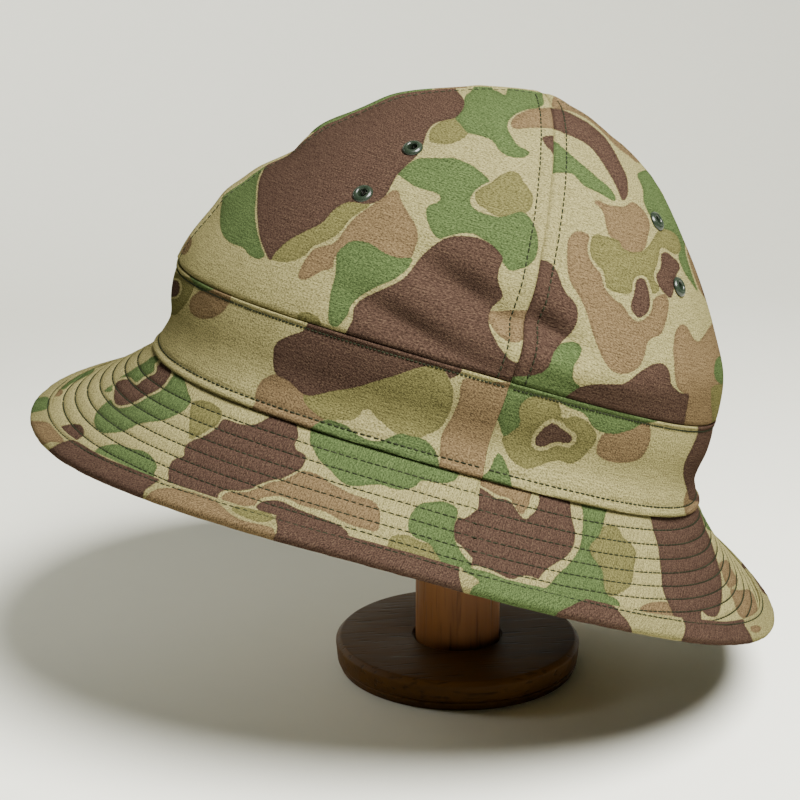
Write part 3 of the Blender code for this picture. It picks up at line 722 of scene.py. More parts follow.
        (18, 420), (33, 421), (40, 421), (49, 423), (56, 431), (64, 440), (62, 443), (50, 442), (40, 446),
        (24, 440))),
    Patch("binding", "brown", (
        (46, 454), (52, 448), (58, 444), (66, 441), (73, 440), (82, 444), (92, 450), (104, 457),
        (121, 464), (138, 470), (152, 474), (158, 477), (159, 480), (154, 484), (148, 488), (144, 492),
        (140, 504), (120, 509), (90, 492), (58, 470))),
    Patch("binding", "tan", (
        (143, 506), (148, 495), (154, 490), (162, 488), (173, 488), (184, 490), (201, 495), (214, 500),
        (222, 506), (231, 514), (242, 520), (254, 523), (267, 526), (274, 530), (273, 548), (240, 544),
        (200, 530), (165, 516))),
    Patch("binding", "olive", (
        (231, 509), (236, 506), (247, 508), (261, 510), (270, 513), (274, 519), (264, 522), (254, 521),
        (244, 517), (236, 513))),
    Patch("binding", "brown", (
        (276, 516), (290, 516), (320, 520), (348, 528), (372, 534), (390, 540), (415, 548), (440, 556),
        (458, 563), (459, 575), (461, 585), (462, 602), (420, 596), (360, 578), (300, 562), (271, 552),
        (277, 530))),
    Patch("binding", "green", (
        (470, 604), (472, 588), (480, 582), (474, 577), (464, 571), (462, 562), (480, 567), (510, 575),
        (540, 583), (570, 591), (588, 598), (578, 605), (570, 607), (562, 611), (556, 616), (551, 630),
        (520, 622), (490, 612))),
    Patch("binding", "brown", (
        (551, 630), (556, 615), (562, 610), (571, 606), (581, 601), (592, 598), (603, 600), (614, 606),
        (622, 615), (628, 622), (632, 632), (630, 650), (600, 648), (570, 640))),
    Patch("binding", "brown", (
        (682, 614), (700, 615), (740, 618), (745, 626), (750, 634), (753, 643), (750, 660), (700, 662),
        (676, 656), (681, 641), (684, 634), (685, 626))),
    Patch("binding", "tan", ((750, 627), (756, 625), (761, 627), (760, 631), (756, 633), (751, 631))),
    Patch("binding", "brown", (
        (741, 567), (749, 570), (757, 583), (766, 595), (784, 596), (772, 566), (750, 552))),
)
LAYERS = ("tan", "olive", "green", "brown")


def closed_curve(outline):
    """A smooth closed curve through the outline's points."""
    steps = 5
    here = np.array(outline, float)
    before = np.roll(here, 1, axis=0)
    after = np.roll(here, -1, axis=0)
    later = np.roll(here, -2, axis=0)
    share = (np.arange(steps) / steps)[None, :, None]
    here, before, after, later = (knot[:, None, :] for knot in (here, before, after, later))
    first = after - before
    second = 2 * before - 5 * here + 4 * after - later
    third = 3 * (here - after) + later - before
    curve = here + 0.5 * share * (first + share * (second + share * third))
    return curve.reshape(-1, 2)


def inside_distance(places, curve, reach):
    """How far inside a closed curve each place lies: negative outside, down to minus the reach."""
    result = np.full(len(places), -reach, float)
    near = np.all((places > curve.min(0) - reach) & (places < curve.max(0) + reach), axis=-1)
    spots = places[near]
    closest = np.full(len(spots), reach ** 2, float)
    inside = np.zeros(len(spots), bool)
    for corner, after in zip(curve, np.roll(curve, -1, axis=0)):
        edge = after - corner
        away = spots - corner
        share = np.clip(away @ edge / max(edge @ edge, 1e-9), 0, 1)
        gap = away - share[:, None] * edge
        closest = np.minimum(closest, np.sum(gap * gap, axis=-1))
        crosses = (corner[1] > spots[:, 1]) != (after[1] > spots[:, 1])
        turn = edge[0] * away[:, 1] - edge[1] * away[:, 0]
        inside ^= crosses & ((turn > 0) == (edge[1] > 0))
    distance = np.sqrt(closest)
    result[near] = np.where(inside, distance, -distance)
    return result


def camera_facing(places, normals):
    """How squarely cloth faces the camera: 1 is straight at it, and below 0 is away from it."""
    return np.sum(normals * unit(CAMERA_PLACE - places), axis=-1)


def evened(values):
    """A value for each row, averaged over the rows near it."""
    padded = np.pad(values, LIMB_EVENING, mode="edge")
    width = 2 * LIMB_EVENING + 1
    return np.convolve(padded, np.ones(width) / width, mode="valid")


def unrolled_places(places, normals):
    """Chart places of a grid of points. Cloth that turns out of sight is laid out flat beyond the
    last column in sight of its row, and the second result says how far beyond, in metres."""
    chart = photo_pixels(places)
    seen = camera_facing(places, normals) > LIMB_FACING
    steps = np.linalg.norm(np.diff(places, axis=0), axis=-1)
    arc = np.vstack([np.zeros(places.shape[1]), np.cumsum(steps, axis=0)])
    beyond = np.ones(seen.shape)
    rows = np.flatnonzero(seen.any(axis=0))
    if len(rows) == 0:
        return chart, beyond
    first = evened(arc[seen.argmax(axis=0)[rows], rows])
    last = evened(arc[len(seen) - 1 - seen[::-1].argmax(axis=0)[rows], rows])
    beyond[:, rows] = np.maximum(np.maximum(first - arc[:, rows], arc[:, rows] - last), 0.0)
    for row in rows:
        columns = np.flatnonzero(seen[:, row])
        start, end = columns[0], columns[-1]
        for edge, hidden in ((start, slice(0, start)), (end, slice(end + 1, None))):
            past = np.abs(arc[hidden, row] - arc[edge, row])
            away = -1 if chart[edge, row, 0] < PHOTO_PIXELS / 2 else 1
            chart[hidden, row, 0] = chart[edge, row, 0] + away * past / MM * PIXELS_PER_MM
            chart[hidden, row, 1] = chart[edge, row, 1]
    return chart, beyond


def bare_print(shape):
    """How far inside each colour the points of a grid of bare cloth lie, in millimetres."""
    return {colour: np.full(shape, -REACH) for colour in LAYERS}


def print_spot(spots, colour, distance, margin):
    """Prints one spot, and keeps the colours under it clear of its margin."""
    if margin > 0:
        for under in LAYERS[:LAYERS.index(colour)]:
            spots[under] = np.minimum(spots[under], -(distance + margin))
    spots[colour] = np.maximum(spots[colour], distance)


def chart_print(spots, panel, chart, where):
    """Prints the charted patches of one panel."""
    flat = chart.reshape(-1, 2)
    reach = REACH * PIXELS_PER_MM
    for colour in LAYERS:
        for patch in PATCHES:
            if patch.panel != panel or patch.colour != colour:
                continue
            distance = inside_distance(flat, closed_curve(patch.outline), reach)
            distance = distance.reshape(where.shape) / PIXELS_PER_MM
            print_spot(spots, colour, np.where(where, distance, -REACH), patch.margin / PIXELS_PER_MM)


# Loose blots: how many a square cell of cloth gets, and their usual radius and margin in
# millimetres. A blot's radius and stretch are drawn between two shares of the usual ones, and its
# lobes are shares of its radius. It prints cloth that faces the same way by more than SAME_SIDE.
Blot = namedtuple("Blot", "colour count radius margin")
BLOTS = (
    Blot("tan", 0.30, 11.0, 0.0),
    Blot("olive", 0.26, 10.0, 0.0),
    Blot("green", 0.42, 13.0, 0.0),
    Blot("brown", 0.42, 12.5, 0.5),
)
BLOT_CELL = 22 * MM
BLOT_TRIES = 6
BLOT_SPACING = 1.7
BLOT_RADII = (0.45, 1.25)
BLOT_STRETCH = (0.6, 1.0)
BLOT_LOBES = (0.34, 0.26, 0.16)
BLOT_GRAIN = (0.3, 0.2, 0.9)
SAME_SIDE = 0.2


def random_blot(dice, usual_radius):
    """The shape of one loose blot: its lobes and their turns, its radius, stretch and lean."""
    lobes = dice.uniform(-1, 1, len(BLOT_LOBES)) * BLOT_LOBES
    turns = dice.uniform(0, 2 * np.pi, len(BLOT_LOBES))
    radius = usual_radius * dice.uniform(*BLOT_RADII)
    stretch = dice.uniform(*BLOT_STRETCH)
    lean = dice.uniform(0, np.pi)
    return lobes, turns, radius, stretch, lean


def blot_distance(away, facing, shape):
    """How far inside a blot places lie, from their steps away from its centre, in millimetres."""
    lobes, turns, radius, stretch, lean = shape
    first = unit(np.cross(facing, BLOT_GRAIN))
    second = np.cross(facing, first)
    across = away @ first
    along = away @ second
    turned_across = (across * math.cos(lean) + along * math.sin(lean)) * stretch
    turned_along = (along * math.cos(lean) - across * math.sin(lean)) / stretch
    heading = np.arctan2(turned_along, turned_across)
    edge = radius * (1 + sum(
        lobe * np.cos((index + 2) * heading + turn)
        for index, (lobe, turn) in enumerate(zip(lobes, turns))))
    return edge - np.hypot(turned_across, turned_along)


def cell_areas(places):
    """The area of cloth that each point of a grid stands for, 0 in its last column and row."""
    corner = places[:-1, :-1]
    across = places[1:, :-1] - corner
    along = places[:-1, 1:] - corner
    areas = np.zeros(places.shape[:-1])
    areas[:-1, :-1] = np.linalg.norm(np.cross(across, along), axis=-1)
    return areas


def scatter_print(spots, places, normals, free, seed):
    """Prints loose blots on the cloth that the chart doesn't reach."""
    if not free.any():
        return
    dice = np.random.default_rng(seed)
    flat = places.reshape(-1, 3)
    facing = normals.reshape(-1, 3)
    weights = (cell_areas(places) * free).reshape(-1)
    for blot in BLOTS:
        wanted = max(1, int(blot.count * weights.sum() / BLOT_CELL ** 2))
        anchors = []
        for _ in range(wanted * BLOT_TRIES):
            pick = dice.choice(len(flat), p=weights / weights.sum())
            centre = flat[pick]
            shape = random_blot(dice, blot.radius)
            if len(anchors) >= wanted:
                break
            gap = BLOT_SPACING * blot.radius * MM
            if any(np.linalg.norm(centre - other) < gap for other in anchors):
                continue
            anchors.append(centre)
            distance = blot_distance((flat - centre) / MM, facing[pick], shape)
            distance = np.clip(distance, -REACH, REACH).reshape(free.shape)
            printed = free & (facing @ facing[pick] > SAME_SIDE).reshape(free.shape)
            print_spot(spots, blot.colour, np.where(printed, distance, -REACH), blot.margin)


def printed_cloth(places, normals, panels, seed):
    """The print of one grid of cloth: charted where it can be, scattered elsewhere. The panels are
    pairs of a panel's name and whether each of the grid's points belongs to it."""
    spots = bare_print(places.shape[:-1])
    chart, beyond = unrolled_places(places, normals)
    charted = beyond < UNROLLED_MARGIN
    for panel, owned in panels:
        chart_print(spots, panel, chart, charted & owned)
    scatter_print(spots, places, normals, ~charted, seed)
    return spots


def loose_print(places, normals, seed):
    """The print of cloth that no chart reaches."""
    spots = bare_print(places.shape[:-1])
    scatter_print(spots, places, normals, np.ones(places.shape[:-1], bool), seed)
    return spots


# Meshes

CLOTH_SHARP_ANGLE = 50
TURNED_SHARP_ANGLE = 38
# How a fact with one value or with a vector at each point is stored
FACT_KINDS = {1: ("FLOAT", "value"), 2: ("FLOAT_VECTOR", "vector")}


def place_object(name, mesh, material):
    mesh.materials.append(material)
    item = bpy.data.objects.new(name, mesh)
    bpy.context.scene.collection.objects.link(item)
    return item


def grid_faces(columns, rows, keep, closed):
    """Quads of two grids that face away from each other, joined round every open side."""
    across = columns if closed else columns - 1
    column, row = np.meshgrid(np.arange(across), np.arange(rows - 1), indexing="ij")
    after = (column + 1) % columns
    kept = keep[:across, :rows - 1]
    shift = columns * rows

    def corner(at_column, at_row):
        return at_column * rows + at_row

    ring = np.stack([
        corner(column, row), corner(after, row), corner(after, row + 1), corner(column, row + 1)], -1)
    outer = ring[kept]
    inner = ring[kept][:, ::-1] + shift
    rims = []
    padded = np.zeros((across + 2, rows + 1), bool)
    padded[1:-1, 1:-1] = kept
    if closed:
        padded[0] = padded[-2]
        padded[-1] = padded[1]
    neighbours = (
        (padded[1:-1, :-2], 0, 1),
        (padded[2:, 1:-1], 1, 2),
        (padded[1:-1, 2:], 2, 3),
        (padded[:-2, 1:-1], 3, 0),
    )
    for neighbour, first, second in neighbours:
        bare = kept & ~neighbour
        start = ring[bare][:, first]
        end = ring[bare][:, second]
        rims.append(np.stack([end, start, start + shift, end + shift], -1))
    return np.vstack([outer, inner] + rims)


def cloth_object(name, outer, inner, facts, material, keep=None, closed=False):
    """A sheet of cloth between two grids of points, with facts for its finish at its points."""
    columns, rows = outer.shape[:2]
    if keep is None:
        keep = np.ones((columns, rows), bool)
    faces = grid_faces(columns, rows, keep, closed)
    places = on_the_stand(np.vstack([outer.reshape(-1, 3), inner.reshape(-1, 3)]))
    used, faces = np.unique(faces, return_inverse=True)
    mesh = bpy.data.meshes.new(name)
    mesh.from_pydata(places[used].tolist(), [], faces.reshape(-1, 4).tolist())
    for fact, values in facts.items():
        kind, field = FACT_KINDS[values.ndim]
        layer = mesh.attributes.new(fact, kind, "POINT")
        layer.data.foreach_set(field, values[used].astype(np.float32).ravel())
    mesh.shade_smooth()
    mesh.set_sharp_from_angle(angle=math.radians(CLOTH_SHARP_ANGLE))
    return place_object(name, mesh, material)


def cloth_facts(outer_print, inner_print, cloth):
    """Facts at every point of both grids: the print, the place in the weave and which side it is."""
    facts = {}
    for name in LAYERS:
        facts[name] = np.concatenate([outer_print[name].ravel(), inner_print[name].ravel()])
    facts["cloth"] = np.vstack([cloth.reshape(-1, 3), cloth.reshape(-1, 3)])
    facts["reverse"] = np.repeat((0.0, 1.0), outer_print["tan"].size)
    return facts


def lathe_object(name, profile, steps, material, placement=None, closed=False):
    """A profile of distances and heights, its outer side listed downwards, turned about Z."""
    mesh = bpy.data.meshes.new(name)
    edges = [(index, index + 1) for index in range(len(profile) - 1)]
    if closed:
        edges.append((len(profile) - 1, 0))
    mesh.from_pydata([(x, 0.0, z) for x, z in profile], edges, [])
    shape = bmesh.new()
    shape.from_mesh(mesh)
    bmesh.ops.spin(
        shape, geom=shape.verts[:] + shape.edges[:], cent=(0, 0, 0), axis=(0, 0, 1),
        angle=2 * math.pi, steps=steps, use_merge=True)
    bmesh.ops.remove_doubles(shape, verts=shape.verts[:], dist=1e-7)
    bmesh.ops.recalc_face_normals(shape, faces=shape.faces[:])
    if placement is not None:
        shape.transform(placement)
    shape.to_mesh(mesh)
    shape.free()
    mesh.shade_smooth()
    mesh.set_sharp_from_angle(angle=math.radians(TURNED_SHARP_ANGLE))
    return place_object(name, mesh, material)


def rounded(profile, radius, steps=3):
    """The profile with each of its inner corners rounded to about the radius."""
    result = [profile[0]]
    for before, corner, after in zip(profile, profile[1:], profile[2:]):
        here = np.array(corner)
        back = np.array(before) - here
        forward = np.array(after) - here
        cut = min(radius, np.linalg.norm(back) / 2.2, np.linalg.norm(forward) / 2.2)
        start = here + unit(back) * cut
        end = here + unit(forward) * cut
        for step in range(steps + 1):
            share = step / steps
            point = start * (1 - share) ** 2 + here * 2 * share * (1 - share) + end * share ** 2
            result.append(tuple(point))
    result.append(profile[-1])
    return result


# Stitches


def stitch_places(line, normals, pitch, seed):
    """Middles, directions and normals of the stitches along a line of points."""
    arc = length_along(line)
    count = max(1, int(arc[-1] / pitch))
    dice = np.random.default_rng(seed)
    middle = (np.arange(count) + 0.5) * arc[-1] / count
    middle = middle + dice.normal(0, STITCH_SHIFT, count) * pitch
    half = STITCH_SHARE * pitch / 2 * (1 + dice.normal(0, STITCH_STRETCH, count))

    def along(values, at):
        return np.stack([np.interp(at, arc, values[:, axis]) for axis in range(3)], -1)

    centre = along(line, middle)
    reach = along(line, middle + half) - along(line, middle - half)
    return centre, reach / 2, unit(along(normals, middle))


# Rings of one stitch: how far along it, how wide and how far above the cloth in millimetres
STITCH_RINGS = (
    (-1.0, 0.30, -0.12), (-0.72, 0.92, 0.08), (0.0, 1.0, 0.14), (0.72, 0.92, 0.08), (1.0, 0.30, -0.12),
)
STITCH_SIDES = 5
LOWER_STITCH_SIDES = 4
STITCH_SHIFT = 0.035
STITCH_STRETCH = 0.05
STITCH_SEED = 700


def stitch_corners(rows, sides):
    """The corners of the rings of every stitch, one stitch after another."""
    rings = []
    for number, (line, normals, pitch) in enumerate(rows):
        centre, reach, up = stitch_places(line, normals, pitch, STITCH_SEED + number)
        side = unit(np.cross(up, reach))
        row = []
        for shift, width, lift in STITCH_RINGS:
            middle = centre + reach * shift + up * lift * MM
            for step in range(sides):
                turn = 2 * math.pi * step / sides
                round_it = side * math.cos(turn) + up * math.sin(turn)
                row.append(middle + round_it * THREAD_RADIUS * width)
        rings.append(np.stack(row, axis=1).reshape(-1, 3))
    return np.vstack(rings)


def stitches_object(name, rows, material, sides):
    """Every stitch of a group, each a short thread whose ends dip into the cloth. A row is a line
    of points, its normals and the pitch of its stitches."""
    places = stitch_corners(rows, sides)
    per_stitch = sides * len(STITCH_RINGS)
    first = per_stitch * np.arange(len(places) // per_stitch)
    quads = []
    for ring in range(len(STITCH_RINGS) - 1):
        for step in range(sides):
            low = first + ring * sides
            after = (step + 1) % sides
            high = low + sides
            quads.append(np.stack([high + step, high + after, low + after, low + step], -1))
    corners = np.arange(sides)
    ends = [first[:, None] + corners, first[:, None] + per_stitch - 1 - corners]
    mesh = bpy.data.meshes.new(name)
    mesh.from_pydata(places.tolist(), [], np.vstack(quads).tolist() + np.vstack(ends).tolist())
    mesh.shade_smooth()
    return place_object(name, mesh, material)


# Finishes

KHAKI = (0.151, 0.134, 0.058)
TAN = (0.086, 0.059, 0.030)
OLIVE = (0.076, 0.070, 0.026)
GREEN = (0.040, 0.059, 0.021)
BROWN = (0.036, 0.0215, 0.0155)
INKS = (("tan", TAN), ("olive", OLIVE), ("green", GREEN), ("brown", BROWN))
BINDING_TINT = 0.82
THREAD = (0.010, 0.012, 0.007)
ENAMEL = (0.011, 0.017, 0.010)
# Pale grey-green of the painted glints on the thread
THREAD_PAINTED_GLINT = (0.045, 0.05, 0.03)
PAPER = ((0.76, 0.76, 0.67), (0.78, 0.78, 0.69))

# Woods: dark and light grain, how dense the grain lies along each axis, gloss and roughness
Wood = namedtuple("Wood", "dark light along gloss roughness")
STAINED_WOOD = Wood(
    (0.038, 0.0145, 0.0020), (0.102, 0.045, 0.0065), (1.0, 0.12, 1.0), gloss=0.12, roughness=0.55)
HONEY_WOOD = Wood(
    (0.10, 0.036, 0.009), (0.24, 0.098, 0.027), (1.0, 1.0, 0.05), gloss=0.25, roughness=0.45)
PLAIN_WOOD = Wood(
    (0.30, 0.18, 0.09), (0.42, 0.27, 0.14), (1.0, 0.10, 1.0), gloss=0.2, roughness=0.62)

# Weaves: their turn to the cloth, and the pitch in millimetres and the depth of their twill lines
Weave = namedtuple("Weave", "turn pitch depth")
CROWN_WEAVE = Weave(0.0, 0.74, 0.020)
BAND_WEAVE = Weave(0.0, 0.74, 0.028)
BRIM_WEAVE = Weave(0.3, 0.74, 0.015)
BINDING_WEAVE = Weave(0.7, 0.70, 0.045)
TWILL_COURSE = (0.62, 0.78)

# Ink: the blur of its edge and the rim inside it where it lies deeper, in millimetres, the share
# of its colour there, and how far raised threads pale it: partly worn ink, partly painted highlight
INK_BLUR = 0.16
INK_RIM = (0.25, 1.6)
INK_RIM_SHARE = 0.82
INK_WEAR_AND_HIGHLIGHT = 0.13


def tinted(colour, share):
    """A darker or paler tone of a colour."""
    return tuple(part * share for part in colour)


class Tree:
    """A material's nodes, added one call at a time."""

    def __init__(self, name):
        self.material = bpy.data.materials.new(name)
        self.material.use_nodes = True
        self.tree = self.material.node_tree
        self.shader = self.tree.nodes["Principled BSDF"]

    def node(self, kind, settings=None, **inputs):
        made = self.tree.nodes.new(kind)
        for key, value in (settings or {}).items():
            setattr(made, key, value)
        for key, value in inputs.items():
            self.feed(made.inputs[key.replace("_", " ")], value)
        return made

    def feed(self, socket, value):
        if isinstance(value, bpy.types.NodeSocket):
            self.tree.links.new(value, socket)
        else:
            socket.default_value = value

    def fact(self, name, output="Fac"):
        return self.node("ShaderNodeAttribute", {"attribute_name": name}).outputs[output]

    def math(self, operation, first, second=0.0):
        made = self.node("ShaderNodeMath", {"operation": operation})
        self.feed(made.inputs[0], first)
        self.feed(made.inputs[1], second)
        return made.outputs[0]

    def scaled(self, vector, scale):
        made = self.node("ShaderNodeVectorMath", {"operation": "MULTIPLY"})
        self.feed(made.inputs[0], vector)
        made.inputs[1].default_value = scale
        return made.outputs[0]

    def noise(self, vector, scale, detail=2.0, roughness=0.5):
        made = self.node(
            "ShaderNodeTexNoise", Vector=vector, Scale=scale, Detail=detail, Roughness=roughness)
        return made.outputs["Fac"]

    def step(self, value, low, high, start=0.0, end=1.0):
        made = self.node("ShaderNodeMapRange")
        self.feed(made.inputs["Value"], value)
        made.inputs["From Min"].default_value = low
        made.inputs["From Max"].default_value = high
        made.inputs["To Min"].default_value = start
        made.inputs["To Max"].default_value = end
        return made.outputs["Result"]

    def mix(self, factor, first, second, blend_type="MIX"):
        made = self.node("ShaderNodeMix", {"data_type": "RGBA", "blend_type": blend_type})
        self.feed(made.inputs["Factor"], factor)
        for socket, value in ((made.inputs[6], first), (made.inputs[7], second)):
            self.feed(socket, (*value, 1.0) if isinstance(value, tuple) else value)
        return made.outputs[2]

    def bump(self, height, distance):
        made = self.node("ShaderNodeBump", Height=height, Distance=distance, Strength=1.0)
        self.feed(self.shader.inputs["Normal"], made.outputs["Normal"])

    def finish(self, colour, roughness):
        self.feed(self.shader.inputs["Base Color"], colour)
        self.feed(self.shader.inputs["Roughness"], roughness)
        return self.material


def printed_cotton(name, base, weave):
    """Spotted cotton: ink layers over the dyed cloth, a fine twill with slubby threads, and a
    paler reverse."""
    tree = Tree(name)
    cloth = tree.fact("cloth", "Vector")
    turned = tree.node(
        "ShaderNodeVectorRotate", {"rotation_type": "Z_AXIS"}, Vector=cloth, Angle=weave.turn)
    woven = turned.outputs["Vector"]
    blotch = tree.noise(cloth, 0.09, 3.0, 0.6)
    grain = tree.noise(cloth, 1.5, 2.0, 0.6)
    wobble = tree.math("MULTIPLY", tree.math("SUBTRACT", grain, 0.5), 0.9)

    parts = tree.node("ShaderNodeSeparateXYZ", Vector=woven).outputs
    rightwards = tree.math("MULTIPLY", parts["X"], TWILL_COURSE[0])
    upwards = tree.math("MULTIPLY", parts["Y"], TWILL_COURSE[1])
    diagonal = tree.math("MULTIPLY", tree.math("ADD", rightwards, upwards), 2 * math.pi / weave.pitch)
    broken = tree.math("ADD", diagonal, tree.math("MULTIPLY", grain, 14.0))
    twill = tree.math("MULTIPLY", tree.math("SINE", broken), weave.depth)
    slub = tree.noise(tree.scaled(woven, (0.13, 2.4, 1.0)), 1.0, 2.0, 0.6)
    specks = tree.noise(tree.scaled(woven, (1.4, 1.9, 1.0)), 1.0, 2.0, 0.85)
    speck_and_slub = tree.math("ADD", tree.math("MULTIPLY", specks, 0.75), tree.math("MULTIPLY", slub, 0.25))
    threads = tree.math("ADD", speck_and_slub, twill)

    colour = tree.mix(blotch, tinted(base, 0.92), tinted(base, 1.08))
    for layer, ink in INKS:
        inside = tree.math("ADD", tree.fact(layer), wobble)
        share = tree.step(inside, -INK_BLUR, INK_BLUR)
        body = tree.mix(tree.step(inside, *INK_RIM), tinted(ink, INK_RIM_SHARE), ink)
        # On raised threads the ink pales towards the cloth: partly worn ink and partly painted highlight
        # on the threads
        wear_and_highlight = tree.step(threads, 0.54, 0.68, 0.0, INK_WEAR_AND_HIGHLIGHT)
        worn_and_highlit_ink = tree.mix(wear_and_highlight, body, tinted(base, 0.75))
        colour = tree.mix(share, colour, worn_and_highlit_ink)
    pale = tree.mix(0.62, colour, base)
    colour = tree.mix(tree.fact("reverse"), colour, pale)
    shade = tree.step(threads, 0.38, 0.62, 0.40, 1.60)
    colour = tree.mix(1.0, colour, shade, "MULTIPLY")
    tree.bump(threads, 0.00024)
    tree.shader.inputs["Specular IOR Level"].default_value = 0.0
    return tree.finish(colour, 0.9)


def sewing_thread():
    tree = Tree("dark_green_thread")
    place = tree.node("ShaderNodeTexCoord").outputs["Object"]
    twist = tree.noise(place, 2600.0, 2.0)
    glint_patches = tree.noise(place, 60.0, 1.0)
    # Lit and shaded copies of the thread's colour along its twist, and pale grey patches: painted glints
    # of the thread
    colour = tree.mix(twist, tinted(THREAD, 0.5), tinted(THREAD, 2.4))
    colour = tree.mix(tree.step(glint_patches, 0.45, 0.7, 0.0, 0.25), colour, THREAD_PAINTED_GLINT)
    tree.bump(twist, 0.0001)
    tree.shader.inputs["Specular IOR Level"].default_value = 0.0
    return tree.finish(colour, 0.8)


def green_enamel():
    tree = Tree("green_enamel")
    place = tree.node("ShaderNodeTexCoord").outputs["Object"]
    specks = tree.noise(place, 700.0, 3.0)
    colour = tree.mix(specks, tinted(ENAMEL, 0.7), tinted(ENAMEL, 1.4))
    tree.bump(specks, 0.00005)
    tree.shader.inputs["Specular IOR Level"].default_value = 0.4
    return tree.finish(colour, tree.step(specks, 0.3, 0.7, 0.22, 0.34))


def grained_wood(name, wood):
    """Turned wood with fine pores and broad figure that run along one direction."""
    tree = Tree(name)
    place = tree.node("ShaderNodeTexCoord").outputs["Object"]
    stretched = tree.scaled(place, wood.along)
    figure = tree.noise(stretched, 30.0, 4.0, 0.6)
    fine = tree.noise(stretched, 260.0, 3.0, 0.6)
    pores = tree.step(tree.noise(stretched, 620.0, 2.0, 0.5), 0.58, 0.70)
    tone = tree.math("ADD", tree.math("MULTIPLY", figure, 0.65), tree.math("MULTIPLY", fine, 0.35))
    colour = tree.mix(tree.step(tone, 0.30, 0.70), wood.dark, wood.light)
    colour = tree.mix(tree.math("MULTIPLY", pores, 0.5), colour, tinted(wood.dark, 0.35))
    tree.bump(tree.math("SUBTRACT", fine, pores), 0.00012)
    tree.shader.inputs["Specular IOR Level"].default_value = wood.gloss
    return tree.finish(colour, tree.step(fine, 0.3, 0.7, wood.roughness - 0.05, wood.roughness + 0.08))


def pale_floor():
    tree = Tree("pale_paper")
    place = tree.node("ShaderNodeTexCoord").outputs["Object"]
    fibres = tree.noise(place, 90.0, 3.0)
    tree.shader.inputs["Specular IOR Level"].default_value = 0.15
    return tree.finish(tree.mix(fibres, *PAPER), 0.9)


# Crown. Its seams puff up, crease at their middle and sink in along their rows of stitches, by
# heights and over widths in millimetres.

SEAM_PUFF = 0.38
SEAM_PUFF_WIDTH = 1.25
SEAM_CREASE = 0.60
SEAM_CREASE_WIDTH = 0.35
SEAM_ROW_DEPTH = 0.30
SEAM_ROW_WIDTH = 0.55
BAND_PUFF = 1.1 * MM
BAND_PUFF_REACH = 22 * MM
FRONT_PUFF = 0.45 * MM
FRONT_PUFF_ANGLE = 353
FRONT_PUFF_SPREAD = 32
RELIEF_START = 2.5 * MM
EYELET_HOLE = 2.85 * MM
EYELET_DIMPLE = 0.35 * MM
EYELET_DIMPLE_REACH = 4.2 * MM
CROWN_SEED = 20
EYELET_HEIGHTS = (("upper", 0.69), ("lower", 0.49))
SEAM_ROW_LIFTS = np.linspace(0.6, 84.0, 170)

# Angles from a seam of the columns beside it, closest together where its stitches sink in
SEAM_COLUMNS = (
    0.03, 0.12, 0.28, 0.50, 0.85, 1.30, 1.75, 2.10, 2.35, 2.50, 2.65, 2.90, 3.30, 3.90, 4.70,
)


def arc_from_seams(angle, place):
    """Distance round the hat to the nearest of the four crown seams, in metres."""
    turn = np.abs(turn_from(angle, 0, 90))
    return np.radians(turn) * np.hypot(place[..., 0], place[..., 1])


def seam_relief(arc):
    """How far the felled seams raise and pinch the cloth, in metres."""
    across = arc / MM
    row = SEAM_ROW_OFFSET / MM
    puff = SEAM_PUFF * bump(across - row / 2, SEAM_PUFF_WIDTH)
    crease = SEAM_CREASE * bump(across, SEAM_CREASE_WIDTH)
    stitched = SEAM_ROW_DEPTH * bump(across - row, SEAM_ROW_WIDTH)
    return (puff - crease - stitched) * MM


def eyelet_spots():
    """Angle, height share and name of each eyelet, a pair on the middle line of each gore."""
    for place, start in GORES:
        for level, height in EYELET_HEIGHTS:
            yield start + 45, height, place + "_" + level


def dome_frame(angle, lift, step):
    """Place and outward normal of the crown at an angle and a lift, from steps to each side."""
    across = dome_point(angle + step, lift) - dome_point(angle - step, lift)
    up = dome_point(angle, lift + step) - dome_point(angle, lift - step)
    return dome_point(angle, lift), unit(np.cross(across, up))


def surface_frame(angle, height):
    """Place and outward normal of the crown at an angle and a height share of the dome."""
    fullness = round_the_hat(angle, FULLNESS_FRONT, FULLNESS_SIDE, FULLNESS_BACK)
    lift = np.degrees(np.arcsin(height ** (fullness / 2)))
    return dome_frame(angle, lift, 0.01)


def crown_surface(angle, wall, lift):
    """The crown cloth's outer face, wall shares first and then dome lifts, as a grid."""
    lower = wall_point(angle[:, None], wall[None, :])
    upper = dome_point(angle[:, None], lift[None, :])
    return np.concatenate([lower, upper], axis=1)


def crown_waves(places, angle, arc, rise):
    """Waves of the crown, the puckers along its seams and its swell over the band, in metres."""
    puckers = waves(places, CROWN_PUCKERS) * bump(arc, CROWN_PUCKER_REACH)
    puff = BAND_PUFF + FRONT_PUFF * bump(turn_from(angle, FRONT_PUFF_ANGLE), FRONT_PUFF_SPREAD)
    return puckers + waves(places, CROWN_WAVES) + puff * bump(rise, BAND_PUFF_REACH)


def above_band(rise):
    """How fully the crown's relief has set in at a rise over the band."""
    return np.clip(rise / RELIEF_START, 0, 1)


def crown_relief(grid, angle, rise):
    """Everything that lifts or sinks the crown's outer face, in metres."""
    arc = arc_from_seams(angle[:, None], grid)
    relief = seam_relief(arc) + crown_waves(grid, angle[:, None], arc, rise[None, :])
    relief = relief * above_band(rise)[None, :]
    for turn, height, _ in eyelet_spots():
        centre, _ = surface_frame(turn, height)
        away = np.linalg.norm(grid - centre, axis=-1)
        relief -= EYELET_DIMPLE * bump(away, EYELET_DIMPLE_REACH)
    return relief


def clear_of_eyelets(outer):
    """Which cells of a gore's grid keep their cloth: all but those in the eyelets' holes."""
    middle = (outer[1:, 1:] + outer[:-1, :-1]) / 2
    keep = np.ones(outer.shape[:2], bool)
    for turn, height, _ in eyelet_spots():
        centre, _ = surface_frame(turn, height)
        keep[:-1, :-1] &= np.linalg.norm(middle - centre, axis=-1) > EYELET_HOLE
    return keep


